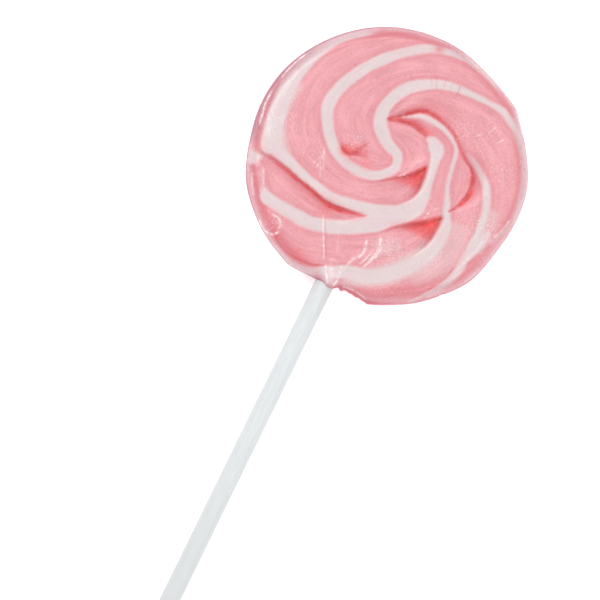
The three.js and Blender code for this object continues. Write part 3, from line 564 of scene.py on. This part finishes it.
def whole_route(start_over, end_over, face):
    """Points of a band's whole way over the unrolled skin, as (u, v, width)."""
    x, y, width = np.array(face, float).T
    angle, path = place_on_front(x, y)
    front = polar(path, angle, width)
    parts = [front]
    if start_over:
        parts.insert(0, back_route(direction_over(front[0], front[1]), start_over)[::-1])
    if end_over:
        parts.append(back_route(direction_over(front[-1], front[-2]), end_over))
    return smooth_line(np.vstack(parts), ROUTE_STEP)


ROUTES = [whole_route(*band) for band in BANDS]


def skin_of_route(route):
    angle, path = np.arctan2(route[:, 1], route[:, 0]), np.hypot(route[:, 0], route[:, 1])
    return skin(angle, path)[0]


# ---------------- streaks that follow the swirl


def drawn_out(sources, tangents, cell, reach, seed):
    """Random values on a square grid, smeared along the way that the swirl runs past the sources."""
    extent = STREAK_EXTENT
    side = int(2 * extent / cell) + 1
    axis = np.linspace(-extent, extent, side)
    coarse = np.linspace(-extent, extent, FLOW_CORNERS)
    gx, gy = np.meshgrid(coarse, coarse)
    corners = np.stack([gx.ravel(), gy.ravel()], axis=1)
    # Directions are averaged as doubled angles, so that opposite ones count as the same.
    doubled = 2 * np.arctan2(tangents[:, 1], tangents[:, 0])
    flow = np.zeros((len(corners), 2))
    for some in np.array_split(np.arange(len(corners)), FLOW_GROUPS):
        square = ((corners[some, None] - sources) ** 2).sum(2)
        weight = 1 / (square + FLOW_SOFTNESS) ** FLOW_FALL
        flow[some] = weight @ polar(1, doubled)
    flow = (flow / np.linalg.norm(flow, axis=1)[:, None]).reshape(FLOW_CORNERS, FLOW_CORNERS, 2)

    def sample(field, x, y):
        fx = np.clip((x + extent) / (2 * extent), 0, 0.99999) * (field.shape[1] - 1)
        fy = np.clip((y + extent) / (2 * extent), 0, 0.99999) * (field.shape[0] - 1)
        ix, iy = fx.astype(int), fy.astype(int)
        tx, ty = fx - ix, fy - iy
        if field.ndim == 3:
            tx, ty = tx[..., None], ty[..., None]
        low = lerp(field[iy, ix], field[iy, ix + 1], tx)
        return lerp(low, lerp(field[iy + 1, ix], field[iy + 1, ix + 1], tx), ty)

    noise = np.random.default_rng(seed).normal(size=(side, side))
    x0, y0 = np.meshgrid(axis, axis)
    total = noise.copy()
    steps = max(2, int(reach / cell))
    for way in (1, -1):
        x, y = x0.copy(), y0.copy()
        before = None
        for _ in range(steps):
            both = sample(flow, x, y)
            half = np.arctan2(both[..., 1], both[..., 0]) / 2
            direction = polar(1, half)
            if before is None:
                direction *= way
            else:
                direction *= np.where((direction * before).sum(-1) < 0, -1, 1)[..., None]
            before = direction
            x, y = x + direction[..., 0] * cell, y + direction[..., 1] * cell
            total += sample(noise, x, y)
    total /= total.std()
    return lambda u, v: sample(total, u, v)


def flow_sources(lines):
    points, tangents = [], []
    for line in lines:
        kept = line[::SOURCE_EVERY, :2]
        points.append(kept)
        tangents.append(np.gradient(kept, axis=0))
    return np.vstack(points), np.vstack(tangents)


def circle(radius):
    return polar(radius, np.linspace(0, 2 * math.pi, CIRCLE_POINTS))


def back_of(route):
    """The part of a route on the flat back, seen in the plane of the back."""
    path = np.hypot(route[:, 0], route[:, 1])
    on_back = path > RIM_PATH
    inward = (WHOLE_PATH - path[on_back])[:, None]
    return route[on_back, :2] / path[on_back, None] * inward


def streak_values(angle, path):
    """Fine and broad streaks along the swirls of the front and the back."""
    folds = [smooth_line(stretch, FOLD_STEP) for _, _, stretches in FOLDS for stretch in stretches]
    front_sources = flow_sources(ROUTES + folds + [circle(radius) for radius in FRONT_CIRCLES])
    back_routes = [line for line in map(back_of, ROUTES) if len(line) > LEAST_BACK_POINTS]
    back_sources = flow_sources(back_routes + [circle(radius) for radius in BACK_CIRCLES])
    over = smoothstep(path, RIM_PATH, BACK_PATH)
    values = []
    for cell, reach, front_seed, back_seed in (FINE_STREAKS, BROAD_STREAKS):
        on_front = drawn_out(*front_sources, cell, reach, front_seed)
        on_back = drawn_out(*back_sources, cell, reach, back_seed)
        front_value = on_front(*polar(path, angle).T)
        values.append(lerp(front_value, on_back(*polar(WHOLE_PATH - path, angle).T), over))
    return values


# ---------------- mesh of the head

FRONT_CELLS = 300
BACK_CELLS = FRONT_CELLS // 2
CENTRE_FINENESS = 0.75


def disc_grid(cells):
    """Directions and reaches of a square grid's corners, pressed into a disc, its quads and its outline."""
    line = np.linspace(-1, 1, cells + 1)
    a, b = (part.ravel() for part in np.meshgrid(line, line))
    wide = np.abs(a) > np.abs(b)
    safe_a, safe_b = np.where(wide, a, 1), np.where(wide | (b == 0), 1, b)
    reach = np.where(wide, a, b)
    turn = np.where(wide, math.pi / 4 * b / safe_a, math.pi / 2 - math.pi / 4 * a / safe_b)
    angle = np.arctan2(reach * np.sin(turn), reach * np.cos(turn))
    index = np.arange((cells + 1) ** 2).reshape(cells + 1, cells + 1)
    quads = np.stack([index[:-1, :-1], index[:-1, 1:], index[1:, 1:], index[1:, :-1]], axis=-1)
    outline = np.concatenate([index[0, :-1], index[:-1, -1], index[-1, :0:-1], index[:0:-1, 0]])
    return angle, np.abs(reach), quads.reshape(-1, 4), outline


def head_places():
    """Directions and paths of the head's vertices, with its faces."""
    angle, reach, front_quads, front_line = disc_grid(FRONT_CELLS)
    path = RIM_PATH * (CENTRE_FINENESS * reach + (1 - CENTRE_FINENESS) * reach ** 3)
    back_angle, back_reach, back_quads, back_line = disc_grid(BACK_CELLS)
    inward = back_reach * (WHOLE_PATH - RIM_PATH) * (1 - 1 / BACK_CELLS)
    first = len(angle)
    back_line = back_line + first
    faces = front_quads.tolist() + (back_quads[:, ::-1] + first).tolist()
    count = len(back_line)
    for i in range(count):
        fine = [front_line[(2 * i + k) % len(front_line)] for k in range(3)]
        here, beyond = back_line[i], back_line[(i + 1) % count]
        faces += [(fine[1], fine[0], here), (beyond, fine[1], here), (fine[2], fine[1], beyond)]
    return np.concatenate([angle, back_angle]), np.concatenate([path, WHOLE_PATH - inward]), faces


def placed(name, data):
    made = bpy.data.objects.new(name, data)
    bpy.context.collection.objects.link(made)
    return made


def mesh_object(name, points, faces):
    mesh = bpy.data.meshes.new(name)
    mesh.from_pydata((points * MM).tolist(), [], faces)
    mesh.shade_smooth()
    mesh.update()
    return placed(name, mesh)


def paint(mesh, **painted):
    for name, values in painted.items():
        layer = mesh.attributes.new(name, "FLOAT", "POINT")
        layer.data.foreach_set("value", np.asarray(values, np.float32))


# ---------------- values painted on the head


def patch(corners, x, y):
    """A soft-edged triangle whose strength runs evenly between its corners."""
    (ax, ay, a), (bx, by, b), (cx, cy, c) = corners
    area = (bx - ax) * (cy - ay) - (by - ay) * (cx - ax)
    toward_b = ((x - ax) * (cy - ay) - (y - ay) * (cx - ax)) / area
    toward_c = ((bx - ax) * (y - ay) - (by - ay) * (x - ax)) / area
    toward_a = 1 - toward_b - toward_c
    sides = ((bx, by), (cx, cy)), ((cx, cy), (ax, ay)), ((ax, ay), (bx, by))
    heights = [abs(area) / math.dist(*ends) for ends in sides]
    inside = np.min([toward_a * heights[0], toward_b * heights[1], toward_c * heights[2]], axis=0)
    strength = np.clip(a * toward_a + b * toward_b + c * toward_c, 0, 1)
    return strength * smoothstep(inside, *PATCH_EDGE)


def strokes(lines, x, y, ragged=0.0):
    """The strongest of several soft lines (strength, half width, [(x, y)]) at each point."""
    points = np.stack([x, y], axis=1)
    total = np.zeros(len(x))
    for strength, reach, stops in lines:
        line = smooth_line([(a, b, 0) for a, b in stops], STROKE_STEP)
        distance, _, _, _, share = nearest_on_line(line, points)
        distance = np.maximum(distance + ragged, 0)
        total = np.maximum(total, strength * bell(distance, reach) * smoothstep(share, *STROKE_ENDS))
    return total


def veil_cover(x, y):
    points = np.stack([x, y], axis=1)
    open_share = np.ones(len(x))
    for strength, softness, stops in VEILS:
        distance, _, _, width, share = nearest_on_line(smooth_line(stops, VEIL_STEP), points)
        veil = smoothstep(width / 2 - distance, -softness, softness)
        open_share *= 1 - strength * veil * smoothstep(share, *VEIL_ENDS)
    return 1 - open_share


def by_direction(table, degrees):
    way, *columns = np.array(table).T
    return [np.interp(degrees, way, column, period=360) for column in columns]


def spots(x, y, places):
    """The shape of each soft spot, from 0 to 1, with its value."""
    return [(bell(np.hypot(x - px, y - py), reach), value) for px, py, reach, value in places]


def band_cover(base, wobble):
    """How much of each vertex is white sugar, from 0 to 1, and how close it is to the edge of a band."""
    cover = np.zeros(len(base))
    edge = np.full(len(base), 9.0)
    for route in ROUTES:
        spine = skin_of_route(route)
        tree = kdtree.KDTree(len(spine))
        for index, point in enumerate(spine):
            tree.insert(point, index)
        tree.balance()
        found = [tree.find(point)[1:] for point in base]
        nearest = np.array([index for index, _ in found])
        distance = np.array([length for _, length in found])
        inside = route[nearest, 2] / 2 - distance + wobble
        cover = np.maximum(cover, smoothstep(inside, -BAND_SOFTNESS, BAND_SOFTNESS))
        edge = np.minimum(edge, np.abs(inside))
    return cover, edge


def sugar_values(base, front, broad):
    """The share of white at each vertex, the distance from the edge of a band, and the veils' share."""
    x, y = base[:, 0], base[:, 1]
    wobble = WOBBLE_BY_STREAKS * broad + WOBBLE_BY_NOISE * value_noise(base, WOBBLE_CELL, SEEDS["band_edges"])
    for share, loss in spots(x, y, NARROWINGS):
        wobble -= np.where(front, loss * share, 0)
    cover, edge = band_cover(base, wobble)
    for share, left in spots(x, y, THIN_SPOTS):
        cover = cover * np.where(front, lerp(1, left, share), 1)
    veil = np.zeros(len(x))
    veil[front] = veil_cover(x[front], y[front])
    return 1 - (1 - cover) * (1 - veil), edge, veil


def crease_values(base, crease):
    """The painted shade of the folds' creases, with that of the pits, patches and strokes laid over it."""
    x, y = base[:, 0], base[:, 1]
    for share, strength in spots(x, y, PITS):
        crease = np.maximum(crease, strength * share)
    for corners in DEEP_PATCHES:
        crease = np.maximum(crease, patch(corners, x, y))
    ragged = STROKE_RAGGEDNESS * value_noise(base, RAGGED_CELL, SEEDS["strokes"])
    crease = np.maximum(crease, strokes(DEEP_CREASES, x, y, ragged))
    for share, loss in spots(x, y, PALE_CREASES):
        crease = crease * (1 - loss * share)
    return crease


def strongest_spot(x, y, places, front, least=0):
    total = np.where(front, least, 0.0)
    for share, strength in spots(x, y, places):
        total = np.maximum(total, np.where(front, strength * share, 0))
    return total


def build_head():
    angle, path, faces = head_places()
    base, _ = skin(angle, path)
    x, y = base[:, 0], base[:, 1]
    front = path < RIM_PATH
    fx, fy = x[front], y[front]
    groove, crease, shade, bright, dark, blister = (np.zeros(len(x)) for _ in range(6))
    groove[front], crease[front], shade[front] = fold_forms(fx, fy)
    collar = bell(x - COLLAR["x"], COLLAR["across"]) * bell(y - COLLAR["y"], COLLAR["along"])
    collar = np.where(front, collar, 0)
    points, out = skin(angle, path, groove, COLLAR["rise"] * collar)

    fine, broad = streak_values(angle, path)
    cover, edge, veil = sugar_values(base, front, broad)
    crease[front] = crease_values(base[front], crease[front])
    dashes = smoothstep(value_noise(base[front], DASH_CELL, SEEDS["dashes"]), *DASH_EDGE)
    # Scratches and painted highlight lines, broken into dashes.
    bright[front] = strokes(SCRATCHES, fx, fy) * lerp(DASH_LEAST, 1, dashes)
    dark[front] = strokes(HAIRLINES, fx, fy)
    for share, rise in spots(fx, fy, BLISTERS):
        blister[front] += rise * share

    degrees = np.degrees(angle)
    tilt = np.degrees(ring_at(angle, path)[1])
    inside_rim = np.where(front, rim_radius(angle) - np.hypot(x, y), path - RIM_PATH)
    # Painted shade on the edge of the rim, by the tilt of the skin.
    begin, tint_strength, redness = by_direction(EDGE, degrees)
    fading = 1 - smoothstep(tilt, *TINT_FADE)
    edge_tint = tint_strength * smoothstep(tilt, begin, begin + TINT_RISE) * fading
    # Painted shade of the ring inside the rim, and evenly on the back.
    ring_inside, ring_reach, ring_strength = by_direction(RING, degrees)
    ring = np.where(front, ring_strength * bell(inside_rim - ring_inside, ring_reach), BACK_RING)
    # Painted shade that darkens the rim, deepest a little inside it.
    dusk_strength, dusk_reach = by_direction(DUSK, degrees)
    dusk = np.where(front, dusk_strength * bell(inside_rim - DUSK_INSIDE, dusk_reach), 0)

    seam = SEAM_DEPTH * bell(edge, SEAM_REACH) * (1 - veil)
    relief = FINE_RISE * fine + BROAD_RISE * broad - seam + blister
    relief = relief + SCRATCH_RISE * bright - HAIRLINE_DEPTH * dark
    for way, reach, rise in CHIPS:
        relief += rise * bell((degrees - way + 180) % 360 - 180, reach) * bell(tilt - 90, CHIP_TILT)
    tongue = smoothstep(nearest_on_line(np.array(TONGUE), base[:, :2])[0], *TONGUE_EDGE)
    relief += TONGUE_STEP * (np.where(front, tongue, 0) - collar) - SKIN_INSET

    head = mesh_object("candy_head", points + out * relief[:, None], faces)
    paint(
        head.data,
        white_sugar=cover,
        crease=crease,
        fold_shade=shade,
        fine_streaks=fine,
        broad_streaks=broad,
        inside_rim=inside_rim,
        edge_tint=edge_tint,
        redness=redness,
        collar=collar,
        ring=ring,
        dusk=dusk,
        sparkle=strongest_spot(x, y, SPARKLES, front, LEAST_SPARKLE),
        glow=strongest_spot(x, y, GLOWS, front),
        beside_band=bell(edge - BESIDE_DISTANCE, BESIDE_REACH) * (1 - cover),
        bright_line=bright,
        dark_line=dark,
    )
    return head


# ---------------- stick

STICK_SIDES = 64
STICK_RINGS = 60
STICK_RING_MARGIN = 3  # between the ends and the plain rings
ROUNDING_POINTS = 5


def build_stick():
    inner, outer = STICK_INNER_END, STICK_INNER_END - STICK_LENGTH
    profile = []
    for t in np.linspace(0, math.pi / 2, ROUNDING_POINTS):
        radius = STICK_RADIUS - STICK_BEVEL * (1 - math.sin(t))
        profile.append((radius, outer + STICK_BEVEL * (1 - math.cos(t))))
    other_end = [(radius, inner + outer - y) for radius, y in reversed(profile)]
    plain = np.linspace(outer + STICK_RING_MARGIN, inner - STICK_RING_MARGIN, STICK_RINGS)
    profile += [(STICK_RADIUS, y) for y in plain]
    profile += other_end
    points = []
    for radius, y in profile:
        for t in np.arange(STICK_SIDES) * 2 * math.pi / STICK_SIDES:
            points.append((STICK_X + radius * math.cos(t), y, STICK_HEIGHT + radius * math.sin(t)))
    faces = []
    for ring in range(len(profile) - 1):
        for i in range(STICK_SIDES):
            j = (i + 1) % STICK_SIDES
            here, next_ring = ring * STICK_SIDES, (ring + 1) * STICK_SIDES
            faces.append((here + i, here + j, next_ring + j, next_ring + i))
    faces.append(tuple(range(STICK_SIDES))[::-1])
    faces.append(tuple((len(profile) - 1) * STICK_SIDES + i for i in range(STICK_SIDES)))
    return mesh_object("stick_rod", np.array(points), faces)


# ---------------- materials


class Shader:
    """A node material under construction."""

    def __init__(self, name):
        self.material = bpy.data.materials.new(name)
        self.material.use_nodes = True
        self.tree = self.material.node_tree
        self.surface = self.tree.nodes["Principled BSDF"]

    def node(self, kind, settings=(), **inputs):
        made = self.tree.nodes.new("ShaderNode" + kind)
        for name, value in dict(settings).items():
            setattr(made, name, value)
        for name, value in inputs.items():
            self.set(made.inputs[name.replace("_", " ")], value)
        return made

    def set(self, socket, value):
        if isinstance(value, bpy.types.NodeSocket):
            self.tree.links.new(value, socket)
        else:
            socket.default_value = value

    def finish(self, **inputs):
        for name, value in inputs.items():
            self.set(self.surface.inputs[name.replace("_", " ")], value)
        return self.material

    def place(self):
        return self.node("TexCoord").outputs["Object"]

    def share(self, name, factor):
        return self.math("MULTIPLY", self.attribute(name), factor)

    def attribute(self, name):
        return self.node("Attribute", {"attribute_name": name}).outputs["Fac"]

    def math(self, operation, a, b=0.0, c=0.0):
        made = self.node("Math", {"operation": operation})
        for socket, value in zip(made.inputs, (a, b, c)):
            self.set(socket, value)
        return made.outputs["Value"]

    def ramp(self, value, low, high, out_low=0.0, out_high=1.0):
        """A smooth step from out_low to out_high, as value goes from low to high."""
        made = self.node("MapRange", {"interpolation_type": "SMOOTHSTEP"}, Value=value,
                         From_Min=low, From_Max=high, To_Min=out_low, To_Max=out_high)
        return made.outputs["Result"]

    def mix(self, share, a, b, blend="MIX"):
        made = self.node("Mix", {"data_type": "RGBA", "blend_type": blend})
        self.set(made.inputs["Factor"], share)
        self.set(made.inputs["A"], a)
        self.set(made.inputs["B"], b)
        return made.outputs["Result"]

    def noise(self, scale, detail=2.0, roughness=0.5):
        return self.node("TexNoise", Vector=self.place(), Scale=scale, Detail=detail,
                         Roughness=roughness).outputs["Fac"]

    def dots(self, scale, reach):
        distance = self.node("TexVoronoi", Vector=self.place(), Scale=scale).outputs["Distance"]
        return self.ramp(distance, reach, reach / 2)

    def bump(self, height, distance, strength=1.0):
        made = self.node("Bump", Height=height, Distance=distance, Strength=strength)
        return made.outputs["Normal"]


def linear(colour):
    """A colour from 0 to 255 in sRGB as the shader's linear one."""
    values = np.array(colour) / 255
    low, high = values / 12.92, ((values + 0.055) / 1.055) ** 2.4
    return (*np.where(values <= 0.04045, low, high).tolist(), 1.0)


# Colours from 0 to 255 in sRGB.
PINK_DARK, PINK_LIGHT = (211, 144, 151), (225, 161, 168)
WHITE_DARK, WHITE_LIGHT = (207, 186, 188), (217, 202, 203)
CREASE_DARK, CREASE_LIGHT = (203, 70, 74), (232, 88, 88)
BESIDE_BAND_PINK = (208, 130, 138)
RING_PINK = (206, 118, 127)
SHADE_PINK = (242, 154, 158)
GLOW_RED = (255, 118, 110)
DUSK_MAUVE = (184, 114, 126)
GLASS_MAUVE = (206, 160, 171)
RIM_MAUVE, RIM_RED = (146, 84, 106), (188, 66, 88)
COLLAR_WHITE = (218, 200, 203)
HAIRLINE_RED = (196, 78, 86)
GLINT_WHITE = (236, 226, 227)
STICK_DARK, STICK_LIGHT, STICK_FAR = (203, 207, 209), (210, 214, 215), (199, 201, 202)

# Scales of noises and dots, in bumps a metre.
GRAIN_SCALE = 2600
CLOUD_SCALE = 160
GLINT_SCALE = 1900
GLOSS_SCALE = 900
SWELL_SCALE = 500
DOT_SCALES = 1300, 2300


def sugar_tones(s, grains, sparkle):
    """Where pink and white sugar lie between their dark and their light, by streaks, clouds and grain."""
    streaks = s.share("fine_streaks", 0.21)
    streaks = s.math("MULTIPLY_ADD", s.attribute("broad_streaks"), 0.14, streaks)
    streaks = s.math("ADD", streaks, s.ramp(s.noise(CLOUD_SCALE, 3), 0.3, 0.7, -0.22, 0.22))
    pink_tone = s.math("MULTIPLY_ADD", grains, s.math("MULTIPLY_ADD", sparkle, 0.4, 0.26), 0.5)
    white_tone = s.math("MULTIPLY_ADD", grains, 0.12, s.math("MULTIPLY_ADD", streaks, 0.4, 0.5))
    return s.math("ADD", pink_tone, streaks), white_tone


def sugar_colour(s, grains, sparkle):
    """The colours of both sugars, with painted shade in creases and on the rim, painted light through the
    rim, the collar, fine lines and painted glints laid over them in turn.
    """
    pink_tone, white_tone = sugar_tones(s, grains, sparkle)
    pink = s.mix(pink_tone, linear(PINK_DARK), linear(PINK_LIGHT))
    pink = s.mix(s.share("beside_band", 0.4), pink, linear(BESIDE_BAND_PINK))
    # Painted shade of the ring inside the rim.
    pink = s.mix(s.share("ring", 0.9), pink, linear(RING_PINK))
    white = s.mix(white_tone, linear(WHITE_DARK), linear(WHITE_LIGHT))
    color = s.mix(s.attribute("white_sugar"), pink, white)

    color = s.mix(s.share("fold_shade", 0.4), color, linear(SHADE_PINK), "MULTIPLY")
    # Painted shade deep in the creases, red and varied by the grain.
    depths = s.mix(s.math("MULTIPLY_ADD", grains, 0.4, 0.5), linear(CREASE_DARK), linear(CREASE_LIGHT))
    depths = s.mix(s.attribute("glow"), depths, linear(GLOW_RED))
    color = s.mix(s.attribute("crease"), color, depths)

    # Painted shade that darkens the rim.
    color = s.mix(s.attribute("dusk"), color, linear(DUSK_MAUVE))
    # Painted light through the glassy rim, paler and greyer, less where the rim is red.
    glass = s.ramp(s.attribute("inside_rim"), 1.3, 0.6, 0.0, 0.4)
    glass = s.math("MULTIPLY", glass, s.math("MULTIPLY_ADD", s.attribute("redness"), -0.6, 1.0))
    color = s.mix(glass, color, linear(GLASS_MAUVE))
    # Painted shade on the edge of the rim, from mauve to red.
    rim_colour = s.mix(s.attribute("redness"), linear(RIM_MAUVE), linear(RIM_RED))
    color = s.mix(s.attribute("edge_tint"), color, rim_colour)
    color = s.mix(s.share("collar", 0.85), color, linear(COLLAR_WHITE))

    # Fine dark lines; along the rim and round its chips they are painted shade.
    color = s.mix(s.share("dark_line", 0.8), color, linear(HAIRLINE_RED))
    # Painted glints: white specks where the grain sparkles, and the scratches with painted highlight lines.
    large_dots = s.math("MULTIPLY", s.dots(DOT_SCALES[0], 0.3), 0.45)
    small_dots = s.math("MULTIPLY", s.dots(DOT_SCALES[1], 0.42), 0.35)
    specks = s.math("MULTIPLY", s.math("MAXIMUM", large_dots, small_dots), sparkle)
    broken = s.ramp(s.noise(GLINT_SCALE, 2), 0.42, 0.56, 0.55, 1.1)
    glints = s.math("MULTIPLY", s.attribute("bright_line"), broken)
    return s.mix(s.math("MAXIMUM", glints, specks), color, linear(GLINT_WHITE))


def candy_material():
    s = Shader("swirled_sugar")
    grain = s.noise(GRAIN_SCALE, 3, 0.7)
    grains = s.ramp(grain, 0.3, 0.7, -1.0, 1.0)
    edge_tint = s.attribute("edge_tint")
    gloss = s.ramp(s.noise(GLOSS_SCALE, 3), 0.3, 0.7, 0.26, 0.4)
    height = s.math("MULTIPLY_ADD", grain, 0.5, s.noise(SWELL_SCALE, 2))
    return s.finish(
        Base_Color=sugar_colour(s, grains, s.attribute("sparkle")),
        Roughness=s.math("MULTIPLY_ADD", edge_tint, 0.15, gloss),
        Specular_IOR_Level=0.35,
        Subsurface_Weight=0.5,
        Subsurface_Radius=(1.0, 0.35, 0.3),
        Subsurface_Scale=0.002,
        Coat_Weight=s.math("MULTIPLY_ADD", edge_tint, -0.15, 0.22),
        Coat_Roughness=0.2,
        Normal=s.bump(height, 0.00003, 0.8),
    )


def stick_material():
    s = Shader("white_stick")
    place = s.place()
    along = s.node("SeparateXYZ", Vector=place).outputs["Y"]
    stretched = s.node("Mapping", Vector=place, Scale=(1, 0.12, 1)).outputs["Vector"]
    fibres = s.node("TexNoise", Vector=stretched, Scale=1500, Detail=3).outputs["Fac"]
    color = s.mix(s.ramp(fibres, 0.3, 0.7), linear(STICK_DARK), linear(STICK_LIGHT))
    # Painted shade: the stick grows darker towards its far end.
    color = s.mix(s.ramp(along, -0.05, -0.13), color, linear(STICK_FAR))
    gloss = s.ramp(s.noise(400, 2), 0.3, 0.7, 0.45, 0.6)
    return s.finish(Base_Color=color, Roughness=gloss, Normal=s.bump(fibres, 0.00002, 0.4))


def floor_material():
    s = Shader("pale_table")
    color = s.mix(s.noise(3, 2), (0.96, 0.96, 0.96, 1), (0.98, 0.98, 0.98, 1))
    white = (1, 1, 1, 1)
    return s.finish(Base_Color=color, Roughness=0.9, Emission_Color=white, Emission_Strength=FLOOR_GLOW)


# ---------------- floor, light and camera

FLOOR_SIZE = 4
FLOOR_DROP = 0.00005  # keeps the floor just clear of the flat back
FLOOR_GLOW = 0.35  # as white as the photo's ground
WORLD_STRENGTH = 0.775
# Lamps: name, place, size and energy.
LAMPS = [("key", (-0.4, 0.25, 0.8), 0.5, 3.4), ("fill", (0.45, -0.25, 0.75), 0.5, 2.0)]
CAMERA_HEIGHT = 650.0
CAMERA_X, CAMERA_Y = -4.37, -36.07
CAMERA_ROLL = 26.05
FRAME_WIDTH = 137.1  # what the camera sees from side to side
FRAME_LEVEL = 5.0  # at this height


def build_stage():
    bpy.ops.mesh.primitive_plane_add(size=FLOOR_SIZE, location=(0, 0, -FLOOR_DROP))
    floor = bpy.context.object
    floor.name = "floor"
    floor.data.materials.append(floor_material())


def build_light():
    world = bpy.data.worlds.new("studio")
    world.use_nodes = True
    sky = world.node_tree.nodes["Background"].inputs
    sky["Color"].default_value = (1, 1, 1, 1)
    sky["Strength"].default_value = WORLD_STRENGTH
    bpy.context.scene.world = world
    for name, place, size, energy in LAMPS:
        light = bpy.data.lights.new(name, "AREA")
        light.size = size
        light.energy = energy
        lamp = placed(name, light)
        lamp.location = place
        lamp.rotation_euler = (-Vector(place)).to_track_quat("-Z", "Y").to_euler()
    bpy.context.scene.view_settings.view_transform = "Standard"


def build_camera():
    lens = bpy.data.cameras.new("camera")
    lens.angle = 2 * math.atan(FRAME_WIDTH / 2 / (CAMERA_HEIGHT - FRAME_LEVEL))
    lens.clip_start, lens.clip_end = 0.01, 10
    camera = placed("camera", lens)
    camera.location = (CAMERA_X * MM, CAMERA_Y * MM, CAMERA_HEIGHT * MM)
    camera.rotation_euler = (0, 0, math.radians(CAMERA_ROLL))
    bpy.context.scene.camera = camera


head = build_head()
head.data.materials.append(candy_material())
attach(head, "root")
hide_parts("pink_candy", "white_band_hooked", "white_band_forked", "white_band_long", "white_band_outer")

stick = build_stick()
stick.data.materials.append(stick_material())
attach(stick, "root")
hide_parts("stick")

build_stage()
build_light()
build_camera()
